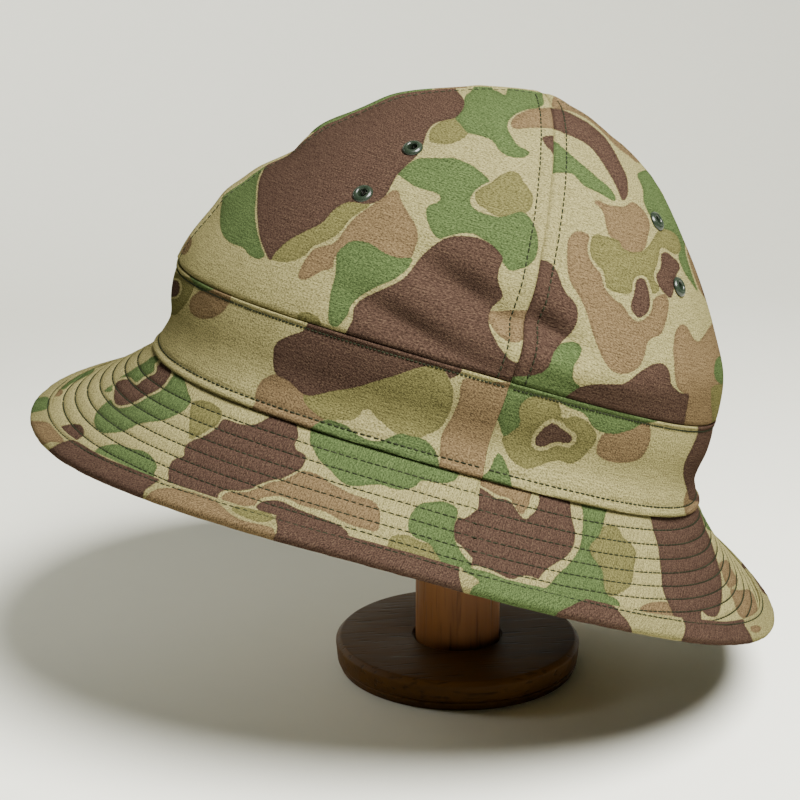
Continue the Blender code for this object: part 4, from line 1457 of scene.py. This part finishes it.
def gore_angles(start):
    """Angles of a gore's columns, closer together by its seams."""
    edge = np.array(SEAM_COLUMNS)
    middle = np.linspace(SEAM_COLUMNS[-1], 90 - SEAM_COLUMNS[-1], GORE_COLUMNS)[1:-1]
    return start + np.concatenate([edge, middle, 90 - edge[::-1]])


def make_gore(place, start, seed, material):
    angle = gore_angles(start)
    wall = np.linspace(0, 1, WALL_ROWS)
    lift = np.linspace(0, TIP_LIFT, DOME_ROWS + 1)[1:]
    grid = crown_surface(angle, wall, lift)
    rise = np.concatenate([np.zeros(WALL_ROWS), lift * CROWN_HEIGHT / 90])
    normals = grid_normals(grid)
    outer = grid + normals * crown_relief(grid, angle, rise)[..., None]
    inner = grid - normals * CROWN_CLOTH

    steps = np.linalg.norm(np.diff(grid, axis=1), axis=-1).mean(axis=0)
    up = np.concatenate([[0], np.cumsum(steps)])
    across = np.radians(angle[:, None] - start - 45) * np.hypot(grid[..., 0], grid[..., 1])
    cloth = points(across, up[None, :], 0.0) / MM
    spots = printed_cloth(on_the_stand(outer), turned_with_hat(normals), [(place, True)], seed)
    facts = cloth_facts(spots, spots, cloth)
    keep = clear_of_eyelets(outer)
    gore = cloth_object("crown_" + place + "_cloth", outer, inner, facts, material, keep=keep)
    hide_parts("crown_gore_" + place)
    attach(gore, "root")


def crown_stitch_rows():
    """A row of stitches on each side of each crown seam, as lines and their normals."""
    rows = []
    lift = SEAM_ROW_LIFTS
    for _, seam in GORES:
        for side in (-1, 1):
            angle = np.full(lift.shape, float(seam))
            for _ in range(3):
                ring = dome_point(angle, lift)
                radius = np.hypot(ring[..., 0], ring[..., 1])
                angle = seam + side * np.degrees(SEAM_ROW_OFFSET / radius)
            place, normal = dome_frame(angle, lift, 0.02)
            rise = lift * CROWN_HEIGHT / 90
            relief = seam_relief(SEAM_ROW_OFFSET) + crown_waves(place, angle, SEAM_ROW_OFFSET, rise)
            line = place + normal * (relief * above_band(rise))[..., None]
            rows.append((on_the_stand(line), turned_with_hat(normal), SEAM_STITCH))
    return rows


# Band

# Height up the band and how far its face stands out there, in millimetres, from the hidden edge
# under its rolled foot to the folded edge at its top.
BAND_PROFILE = (
    (0.9, -1.2), (0.0, -1.0), (-0.6, -0.5), (-0.85, 0.0), (-0.75, 0.45), (-0.35, 0.75), (0.15, 0.82),
    (0.7, 0.72), (1.2, 0.42), (1.65, 0.05), (2.0, -0.12), (2.35, 0.0), (2.8, 0.2), (3.6, 0.38),
    (5.0, 0.46), (6.6, 0.5), (8.4, 0.5), (10.4, 0.45), (12.4, 0.4), (14.4, 0.35), (16.4, 0.3),
    (18.4, 0.2), (20.4, 0.05), (22.4, -0.15), (24.2, -0.35), (25.8, -0.55), (27.2, -0.78), (28.2, -0.95),
    (28.9, -1.12), (29.3, -1.22), (29.6, -1.15), (29.9, -0.95), (30.3, -0.78), (30.7, -0.75),
    (30.95, -0.86), (31.05, -1.05), (31.05, -1.25), (31.03, -1.45), (31.0, -1.6),
)
BAND_MEASURED_ROW = 14
BAND_HEM = (1.2 * MM, BAND_HEIGHT - 0.9 * MM)
BAND_START = 90.0
BAND_LAP = 0.02
BAND_ROW_ANGLES = np.linspace(BAND_START + 0.8, BAND_START + 359.2, 720)
BAND_SEED = 31

# How deep and wide the band's joint sinks, and how much of its waves the turned edges keep
BAND_JOINT_DEPTH = 0.5 * MM
BAND_JOINT_WIDTH = 0.7 * MM
EDGE_WAVES = 0.3


def band_surface(angle, height):
    """The plain face of the band at heights in metres, and its normals, as grids."""
    share = height[None, :] / BAND_HEIGHT
    grid = wall_point(angle[:, None], share)
    normals = grid_normals(grid)
    return grid + normals * (CLEARANCE + BAND_CLOTH), normals


def band_normals(angle, height):
    """Normals of the band's plain face, taken at even heights so that they don't flutter."""
    even = np.linspace(0, BAND_HEIGHT, len(height))
    _, steady = band_surface(angle, even)
    return unit(np.stack([
        np.stack([np.interp(height, even, column[:, axis]) for axis in range(3)], -1)
        for column in steady]))


def band_relief(angle, grid, height):
    """How far waves, puckers and the joint lift or sink the band's face, in metres."""
    kept = np.where((height > -0.5 * MM) & (height < BAND_HEIGHT), 1.0, EDGE_WAVES)
    joint = BAND_JOINT_DEPTH * bump(arc_from_joint(angle, grid), BAND_JOINT_WIDTH)
    near_foot = bump(height - BAND_PUCKER_HEIGHT, BAND_PUCKER_REACH)
    puckers = waves(grid, BAND_PUCKERS) * near_foot[None, :]
    return waves(grid, BAND_WAVES) * kept[None, :] - joint + puckers


def make_band(material):
    angle = np.linspace(BAND_START + BAND_LAP, BAND_START + 360 - BAND_LAP, BAND_COLUMNS)
    height, stand_out = np.array(BAND_PROFILE).T * MM
    normals = band_normals(angle, height)
    grid = wall_point(angle[:, None], height[None, :] / BAND_HEIGHT)
    grid = grid + normals * (CLEARANCE + BAND_CLOTH)
    relief = stand_out[None, :] + band_relief(angle, grid, height)
    outer = grid + normals * relief[..., None]
    hem = np.clip(height, *BAND_HEM)
    inner = wall_point(angle[:, None], hem[None, :] / BAND_HEIGHT) + normals * CLEARANCE
    cloth = points(length_along(grid[:, BAND_MEASURED_ROW])[:, None], height[None, :], 0.0) / MM

    front = np.repeat(((angle % 360 < 90) | (angle % 360 > 270))[:, None], len(height), axis=1)
    world = on_the_stand(outer)
    facing = turned_with_hat(normals)
    # The print is worked out from the hat's right side round, so that the near side is unbroken
    roll = np.argsort((angle - 270) % 360)
    back = np.argsort(roll)
    panels = [("band_front", front[roll]), ("band_back", ~front[roll])]
    spots = printed_cloth(world[roll], facing[roll], panels, BAND_SEED)
    spots = {name: values[back] for name, values in spots.items()}
    facts = cloth_facts(spots, spots, cloth)
    band = cloth_object("hat_band_cloth", outer, inner, facts, material)
    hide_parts("hat_band")
    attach(band, "root")


def arc_from_joint(angle, grid):
    """Distance round the hat to the band's joint, in metres, as a grid."""
    turn = np.abs(turn_from(angle, BAND_START))
    return np.radians(turn)[:, None] * np.hypot(grid[..., 0], grid[..., 1])


def band_stitch_rows():
    """The rows of stitches at the band's foot and lip, as lines and their normals."""
    rows = []
    for height, stand_out, pitch in BAND_ROWS:
        grid, normals = band_surface(BAND_ROW_ANGLES, height + ROW_NEIGHBOURS)
        line = grid[:, 1]
        normal = normals[:, 1]
        line = line + normal * (stand_out + waves(line, BAND_WAVES))[..., None]
        rows.append((on_the_stand(line), turned_with_hat(normal), pitch))
    return rows


# Brim. Each row of stitches sinks a groove and the cloth puffs up between them, in millimetres.
# The steps are the mesh's rows between one row of stitches and the next.

QUILT_DEPTH = 0.42
QUILT_WIDTH = 0.42
QUILT_PUFF = 0.26
QUILT_PUFF_WIDTH = 1.4
QUILT_PUCKER_REACH = 0.2 * MM
FAR_FROM_ROWS = 99.0
QUILT_STEPS = (0.0, 0.08, 0.175, 0.33, 0.5, 0.67, 0.825, 0.92)
EDGE_INSETS = (1.0 * MM, 2.2 * MM)
UNDER_BINDING = (3.4 * MM, 7.6 * MM)
UNDER_BAND = (8.0 * MM, 0.3 * MM)
JOINT_LEAN = 1.8
JOINT_DEPTH = 0.38 * MM
JOINT_WIDTH = 0.5 * MM
JOINT_SWELL = 0.22 * MM
JOINT_SWELL_PLACE = 2.2 * MM
JOINT_SWELL_WIDTH = 1.2 * MM
BRIM_FRONT_SEED = 51
BRIM_BACK_SEED = 52
UNDERSIDE_SEED = 50
WEAVE_STRETCH = 1.15


def left_joint(share):
    """Angle of the left joint between the brim's halves, which leans forward towards the edge."""
    return 90 - JOINT_LEAN * share ** 1.5


def right_joint(share):
    """Angle of the right joint between the brim's halves, which runs straight out."""
    return 270 + 0 * share


def front_start(share):
    """Angle of the same joint where the front half starts from it."""
    return right_joint(share) - 360


def brim_insets(angle):
    """Distances in from the bound edge for each angle, finer round each row of stitches, in metres.
    Steps that the binding or the band would hide lie close together under it."""
    steps = [row + step for row in BRIM_ROWS for step in QUILT_STEPS]
    order = np.linspace(0, 1, len(steps))
    inset = np.stack([row_inset(angle, step) for step in steps], axis=-1)
    inset = np.maximum(inset, blend(*UNDER_BINDING, order))
    inset = np.minimum(inset, brim_width(angle)[:, None] - blend(*UNDER_BAND, order))
    edge = np.broadcast_to(EDGE_INSETS, (len(angle), len(EDGE_INSETS)))
    return np.concatenate([edge, inset], axis=1)


def quilt_relief(angle, inset):
    """The sewn grooves of the brim and the soft puffs between them, in metres."""
    nearest = np.full(np.broadcast(angle, inset).shape, FAR_FROM_ROWS)
    for row in BRIM_ROWS:
        place = row_inset(angle, row)
        away = np.abs(inset - place) / MM
        nearest = np.where(row_shows(angle, place), np.minimum(nearest, away), nearest)
    puff = QUILT_PUFF * (1 - bump(nearest, QUILT_PUFF_WIDTH))
    groove = QUILT_DEPTH * bump(nearest, QUILT_WIDTH)
    inside = np.clip((inset - BINDING_WIDTH) / (1.0 * MM), 0, 1)
    return (puff - groove) * inside * MM


def brim_grid(first, last):
    """The brim's upper face between two joints, columns round the hat by rows inward."""
    share = np.linspace(0, 1, BRIM_COLUMNS)
    middle = blend(first(0.5), last(0.5), share)
    insets = brim_insets(middle)
    out = 1 - insets / brim_width(middle)[:, None]
    out = np.concatenate([out, np.zeros((BRIM_COLUMNS, 1))], axis=1)
    angle = blend(first(out), last(out), share[:, None])
    inset = np.concatenate([insets, brim_width(angle[:, -1:])], axis=1)
    return angle, inset, brim_point(angle, inset)


def joint_pinch(angle, grid):
    """How deep the joints at the ends of a half sink, less the swell beside them, in metres."""
    turn = np.minimum(np.abs(angle - angle[:1]), np.abs(angle - angle[-1:]))
    away = np.radians(turn) * np.hypot(grid[..., 0], grid[..., 1])
    swell = JOINT_SWELL * bump(away - JOINT_SWELL_PLACE, JOINT_SWELL_WIDTH)
    return JOINT_DEPTH * bump(away, JOINT_WIDTH) - swell


def make_brim_half(name, first, last, seed, material):
    angle, inset, grid = brim_grid(first, last)
    normals = grid_normals(grid)
    swell = waves(grid, BRIM_WAVES)
    quilt = quilt_relief(angle, inset)
    puckers = waves(grid, BRIM_PUCKERS) * np.exp(-np.abs(quilt) / QUILT_PUCKER_REACH)
    relief = quilt + swell - joint_pinch(angle, grid) + puckers
    outer = grid + normals * relief[..., None]
    inner = grid - normals * (BRIM_CLOTH + quilt - swell)[..., None]
    cloth = points(grid[..., 0], grid[..., 1] * WEAVE_STRETCH, 0.0) / MM

    facing = turned_with_hat(normals)
    upper = printed_cloth(on_the_stand(outer), facing, [(name, True)], seed)
    lower = loose_print(on_the_stand(inner), -facing, seed + UNDERSIDE_SEED)
    facts = cloth_facts(upper, lower, cloth)
    # Both faces of the doubled brim show the cloth's right side
    facts["reverse"] = np.zeros_like(facts["reverse"])
    half = cloth_object(name + "_cloth", outer, inner, facts, material)
    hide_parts(name)
    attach(half, "root")


# Places round the hat at which the brim's and the binding's rows of stitches are worked out, the
# fewest of them that a row spans, and how deep in its groove a row lies
ROW_ANGLES = np.linspace(0.3, 359.7, 900)
SHORTEST_ROW = 6
GROOVE_SHARE = 0.75


def runs(shows):
    """Slices of the unbroken runs of true values."""
    padded = np.concatenate([[False], shows, [False]]).astype(int)
    change = np.diff(padded)
    starts = np.flatnonzero(change > 0)
    ends = np.flatnonzero(change < 0)
    return [slice(start, end) for start, end in zip(starts, ends)]


def brim_lines(row, below):
    """The parts of one row of stitches that show on one side of the brim, with their normals."""
    angle = ROW_ANGLES
    inset = row_inset(angle, row)
    grid = brim_point(angle[:, None], inset[:, None] + ROW_NEIGHBOURS)
    normal = grid_normals(grid)[:, 1]
    line = grid[:, 1]
    height = quilt_relief(angle, inset) * GROOVE_SHARE
    if below:
        line = line - normal * (BRIM_CLOTH + height - waves(line, BRIM_WAVES))[..., None]
        normal = -normal
    else:
        line = line + normal * (height + waves(line, BRIM_WAVES))[..., None]
    line = on_the_stand(line)
    normal = turned_with_hat(normal)
    parts = [part for part in runs(row_shows(angle, inset)) if part.stop - part.start > SHORTEST_ROW]
    return [(line[part], normal[part], BRIM_STITCH) for part in parts]


# Binding

# How far in from the bound edge and how far above the brim's face, in millimetres, for the
# binding's outer and inner faces, from its folded inner edge on top round to the one below.
BINDING_TOP = (
    (8.25, 0.25, 8.15, 0.22), (8.40, 0.56, 8.1, 0.27), (8.3, 0.80, 7.9, 0.28), (7.95, 0.90, 7.6, 0.28),
    (7.5, 0.86, 7.4, 0.26), (7.15, 0.66, 7.1, 0.24), (6.9, 0.52, 6.9, 0.22), (6.6, 0.66, 6.6, 0.24),
    (5.9, 0.88, 5.9, 0.26), (4.6, 0.95, 4.6, 0.28), (3.2, 0.92, 3.2, 0.28), (1.9, 0.84, 2.0, 0.28),
)

# Its turn round the edge: how far in the outer face starts and how high over the brim, and for
# the inner face how far in it starts, how far out it reaches from there and how high
BINDING_TURN_STEPS = 7
BINDING_TURN = (1.35, 0.84)
BINDING_INNER_TURN = (1.5, 0.6, 0.28)
BINDING_TOP_ROW = 5
BINDING_SEED = 41
BINDING_STITCH_LIFT = 0.52 * MM

# Shares of its own ripples and of the brim's waves that the binding takes
RIPPLE_SHARE = 0.8
WAVE_SHARE = 0.5


def binding_profile():
    """Outer and inner points of the binding's section as insets and heights, in metres."""
    outer = [(inset, lift) for inset, lift, _, _ in BINDING_TOP]
    inner = [(inset, lift) for _, _, inset, lift in BINDING_TOP]
    middle = -BRIM_CLOTH / MM / 2
    reach, lift = BINDING_TURN
    inner_start, inner_reach, inner_lift = BINDING_INNER_TURN
    for step in range(1, BINDING_TURN_STEPS):
        turn = math.pi * step / BINDING_TURN_STEPS
        outer.append((reach - reach * math.sin(turn), middle + (lift - middle) * math.cos(turn)))
        inside = inner_start - inner_reach * math.sin(turn)
        inner.append((inside, middle + (inner_lift - middle) * math.cos(turn)))
    for inset, lift, inner_inset, inner_lift in reversed(BINDING_TOP):
        outer.append((inset, 2 * middle - lift))
        inner.append((inner_inset, 2 * middle - inner_lift))
    return np.array(outer) * MM, np.array(inner) * MM


def binding_frame(angle):
    """Edge point, direction inward and upward normal of the brim at each angle."""
    edge = brim_edge(angle)
    inner = brim_point(angle, BINDING_WIDTH)
    inward = unit(inner - edge)
    step = 0.01
    along = brim_edge(angle + step) - brim_edge(angle - step)
    return edge, inward, unit(np.cross(along, inward))


def make_binding(material):
    angle = np.linspace(270, 630, BINDING_COLUMNS + 1)[:-1]
    edge, inward, up = binding_frame(angle)
    outer_section, inner_section = binding_profile()

    def sweep(section):
        return edge[:, None] + inward[:, None] * section[:, :1] + up[:, None] * section[:, 1:]

    outer = sweep(outer_section)
    inner = sweep(inner_section)
    normals = grid_normals(outer)
    ripple = waves(outer, BINDING_RIPPLES) * RIPPLE_SHARE
    wave = waves(edge, BRIM_WAVES)[:, None, None] * up[:, None] * WAVE_SHARE
    outer = outer + normals * ripple[..., None] + wave
    inner = inner + wave
    cloth = points(length_along(edge)[:, None], length_along(outer_section)[None, :], 0.0) / MM

    top = np.broadcast_to(outer[:, BINDING_TOP_ROW, None], outer.shape)
    facing_top = turned_with_hat(np.broadcast_to(up[:, None], outer.shape))
    world = on_the_stand(outer)
    _, beyond = unrolled_places(on_the_stand(top), facing_top)
    charted = beyond < UNROLLED_MARGIN
    spots = bare_print(charted.shape)
    chart_print(spots, "binding", photo_pixels(world), charted)
    scatter_print(spots, world, turned_with_hat(normals), ~charted, BINDING_SEED)
    facts = cloth_facts(spots, spots, cloth)
    binding = cloth_object("brim_binding_cloth", outer, inner, facts, material, closed=True)
    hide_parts("brim_binding")
    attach(binding, "root")


def binding_stitch_rows():
    """The binding's rows of stitches, above and below, as lines and their normals."""
    edge, inward, up = binding_frame(ROW_ANGLES)
    wave = waves(edge, BRIM_WAVES)[:, None] * up * WAVE_SHARE
    rows = []
    for lift, way in ((BINDING_STITCH_LIFT, 1), (-BRIM_CLOTH - BINDING_STITCH_LIFT, -1)):
        line = edge + inward * BINDING_ROW + up * lift + wave
        rows.append((on_the_stand(line), turned_with_hat(up * way), BRIM_STITCH))
    return rows


# Eyelets

# Section of an eyelet, as distance from its axis and height over the cloth, in millimetres
EYELET_SECTION = (
    (1.50, 0.30), (1.56, 0.62), (1.72, 0.86), (1.98, 1.02), (2.30, 1.06), (2.65, 0.99), (2.98, 0.80),
    (3.26, 0.52), (3.44, 0.22), (3.48, 0.02), (3.30, -0.06), (2.50, -0.02), (2.20, 0.00),
    (2.20, -1.68), (3.10, -1.72), (3.14, -1.95), (2.98, -2.32), (1.80, -2.38), (1.50, -2.20),
)
EYELET_STEPS = 48


def make_eyelets(material):
    section = [(x * MM, z * MM) for x, z in EYELET_SECTION]
    pose = Matrix.Translation(HAT_PLACE) @ hat_turn().to_4x4()
    for angle, height, name in eyelet_spots():
        place, normal = surface_frame(angle, height)
        turn = Vector(normal).to_track_quat("Z", "Y").to_matrix().to_4x4()
        placement = pose @ Matrix.Translation(Vector(place)) @ turn
        eyelet = lathe_object(
            "eyelet_ring_" + name, section, EYELET_STEPS, material, placement, closed=True)
        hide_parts("eyelet_" + name)
        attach(eyelet, "root")


# Stand

BASE_RADIUS = 45.0 * MM
BASE_FOOT_RADIUS = 43.2 * MM
BASE_HEIGHT = 11.3 * MM
BASE_CHAMFER = 1.7 * MM
BASE_GROOVE_HEIGHT = 3.4 * MM
BASE_GROOVE_DEPTH = 0.9 * MM
BASE_GROOVE_WIDTH = 0.8 * MM
BASE_SOCKET_DEPTH = 4.0 * MM
BASE_RING_DEPTH = 1.2 * MM
BASE_SLEEVE_GAP = 0.1 * MM
POST_RADIUS = 15.5 * MM
POST_RING_GAP = 1.0 * MM
HEAD_RADIUS = 58.0 * MM
HEAD_SKIRT = 22.0 * MM
HEAD_EDGE = 4.0 * MM
HEAD_SOCKET_DEPTH = 12.0 * MM
HEAD_ROWS = 26

# How finely each turned piece is rounded
BASE_STEPS = 160
POST_STEPS = 96
HEAD_STEPS = 64


def make_base(material):
    socket = POST_RADIUS + POST_RING_GAP
    waist = blend(BASE_FOOT_RADIUS, BASE_RADIUS, 0.7)
    groove = BASE_GROOVE_WIDTH / 2
    floor = BASE_HEIGHT - BASE_SOCKET_DEPTH
    sleeve = POST_RADIUS + BASE_SLEEVE_GAP
    ring = BASE_HEIGHT - BASE_RING_DEPTH
    profile = [
        (0.0, floor), (sleeve, floor), (sleeve, ring), (socket, ring), (socket, BASE_HEIGHT),
        (BASE_RADIUS - BASE_CHAMFER, BASE_HEIGHT),
        (BASE_RADIUS, BASE_HEIGHT - BASE_CHAMFER), (waist, BASE_GROOVE_HEIGHT + groove),
        (waist - BASE_GROOVE_DEPTH, BASE_GROOVE_HEIGHT), (waist, BASE_GROOVE_HEIGHT - groove),
        (BASE_FOOT_RADIUS, 0.0), (0.0, 0.0),
    ]
    base = lathe_object("stand_base_disc", rounded(profile, 0.5 * MM), BASE_STEPS, material)
    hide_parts("stand_base")
    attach(base, "root")


def make_post(material):
    low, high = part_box("stand_post")
    profile = [(0.0, high.z), (POST_RADIUS, high.z), (POST_RADIUS, low.z), (0.0, low.z)]
    post = lathe_object("stand_post_turned", rounded(profile, 0.6 * MM), POST_STEPS, material)
    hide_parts("stand_post")
    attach(post, "root")


def make_head(material):
    _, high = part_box("stand_head")
    centre = high.z - HEAD_RADIUS
    skirt = math.asin(HEAD_SKIRT / HEAD_RADIUS)
    socket = POST_RADIUS + CLEARANCE
    profile = []
    for row in range(HEAD_ROWS + 1):
        turn = blend(math.pi / 2, -skirt, row / HEAD_ROWS)
        profile.append((HEAD_RADIUS * max(math.cos(turn), 0.0), centre + HEAD_RADIUS * math.sin(turn)))
    profile[0] = (0.0, high.z)
    foot = profile[-1]
    bottom = foot[1] - HEAD_EDGE
    profile += [(foot[0] - HEAD_EDGE, bottom), (socket, bottom),
                (socket, bottom + HEAD_SOCKET_DEPTH), (0.0, bottom + HEAD_SOCKET_DEPTH)]
    head = lathe_object("stand_head_block", profile, HEAD_STEPS, material)
    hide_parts("stand_head")
    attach(head, "root")


# Studio

FLOOR_NEAR = 3.0
FLOOR_HALF_WIDTH = 4.0
SWEEP_START = -0.55
SWEEP_RADIUS = 0.6
WALL_HEIGHT = 3.0
FLOOR_STEPS = 24

# The sky's colour and strength, and for each light its place, what it points at, the width of its
# disc or the angle of its cone, its power and its colour
SKY = ((0.95, 0.98, 1.0, 1.0), 0.042)
KEY_LIGHT = ((0.497, 0.24, 0.93), (0.0, -0.02, 0.10), 0.56, 50.0, (1.0, 0.99, 0.96))
WALL_LIGHT = ((-0.42, -1.10, 0.95), (-1.10, -0.64, 0.30), 80.0, 54.0, (1.0, 1.0, 0.97))
FLOOR_LIGHT = ((-0.25, -0.75, 0.40), (-0.10, -0.18, 0.0), 38.0, 13.5, (1.0, 0.99, 0.94))
SPOT_SIZE = 0.15


def make_floor():
    """A paper floor that curves up into a wall behind the object."""
    section = [(FLOOR_NEAR, 0.0)]
    for step in range(FLOOR_STEPS + 1):
        turn = math.pi / 2 * step / FLOOR_STEPS
        place = SWEEP_START - SWEEP_RADIUS * math.sin(turn)
        section.append((place, SWEEP_RADIUS * (1 - math.cos(turn))))
    section.append((SWEEP_START - SWEEP_RADIUS, WALL_HEIGHT))
    places = []
    for x, z in section:
        places += [(x, -FLOOR_HALF_WIDTH, z), (x, FLOOR_HALF_WIDTH, z)]
    faces = [(2 * row + 1, 2 * row, 2 * row + 2, 2 * row + 3) for row in range(len(section) - 1)]
    mesh = bpy.data.meshes.new("floor")
    mesh.from_pydata(places, [], faces)
    mesh.shade_smooth()
    place_object("floor", mesh, pale_floor())


def place_light(name, data, place, aim, power, colour):
    data.energy = power
    data.color = colour
    light = bpy.data.objects.new(name, data)
    bpy.context.scene.collection.objects.link(light)
    light.location = place
    light.rotation_mode = "QUATERNION"
    light.rotation_quaternion = (Vector(aim) - Vector(place)).to_track_quat("-Z", "Y")


def area_light(name, place, aim, size, power, colour):
    data = bpy.data.lights.new(name, "AREA")
    data.shape = "DISK"
    data.size = size
    place_light(name, data, place, aim, power, colour)


def spot_light(name, place, aim, cone, power, colour):
    data = bpy.data.lights.new(name, "SPOT")
    data.spot_size = math.radians(cone)
    data.spot_blend = 1.0
    data.shadow_soft_size = SPOT_SIZE
    place_light(name, data, place, aim, power, colour)


def make_lights():
    world = bpy.data.worlds.new("studio")
    world.use_nodes = True
    sky = world.node_tree.nodes["Background"].inputs
    sky["Color"].default_value, sky["Strength"].default_value = SKY
    bpy.context.scene.world = world
    area_light("key_light", *KEY_LIGHT)
    spot_light("wall_light", *WALL_LIGHT)
    spot_light("floor_light", *FLOOR_LIGHT)


def make_stitches():
    thread = sewing_thread()
    upper = []
    lower = []
    for row in BRIM_ROWS:
        upper += brim_lines(row, below=False)
        lower += brim_lines(row, below=True)
    groups = (
        ("crown_seam_stitches", crown_stitch_rows(), "crown_cotton", STITCH_SIDES),
        ("band_stitches", band_stitch_rows(), "band_cotton", STITCH_SIDES),
        ("brim_stitches_upper", upper, "brim_cotton", STITCH_SIDES),
        ("brim_stitches_lower", lower, "brim_cotton", LOWER_STITCH_SIDES),
        ("binding_stitches", binding_stitch_rows(), "binding_cotton", STITCH_SIDES),
    )
    for name, rows, slot, sides in groups:
        stitches = stitches_object(name, rows, thread, sides)
        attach(stitches, "root")


def main():
    make_camera()
    make_floor()
    make_lights()
    crown = printed_cotton("crown_print", KHAKI, CROWN_WEAVE)
    for number, (place, start) in enumerate(GORES):
        make_gore(place, start, CROWN_SEED + number, crown)
    make_band(printed_cotton("band_print", KHAKI, BAND_WEAVE))
    brim = printed_cotton("brim_print", KHAKI, BRIM_WEAVE)
    make_brim_half("brim_front", front_start, left_joint, BRIM_FRONT_SEED, brim)
    make_brim_half("brim_back", left_joint, right_joint, BRIM_BACK_SEED, brim)
    make_binding(printed_cotton("binding_print", tinted(KHAKI, BINDING_TINT), BINDING_WEAVE))
    make_eyelets(green_enamel())
    make_stitches()
    make_base(grained_wood("dark_stained_wood_grain", STAINED_WOOD))
    make_post(grained_wood("honey_wood_grain", HONEY_WOOD))
    make_head(grained_wood("plain_wood_grain", PLAIN_WOOD))


main()
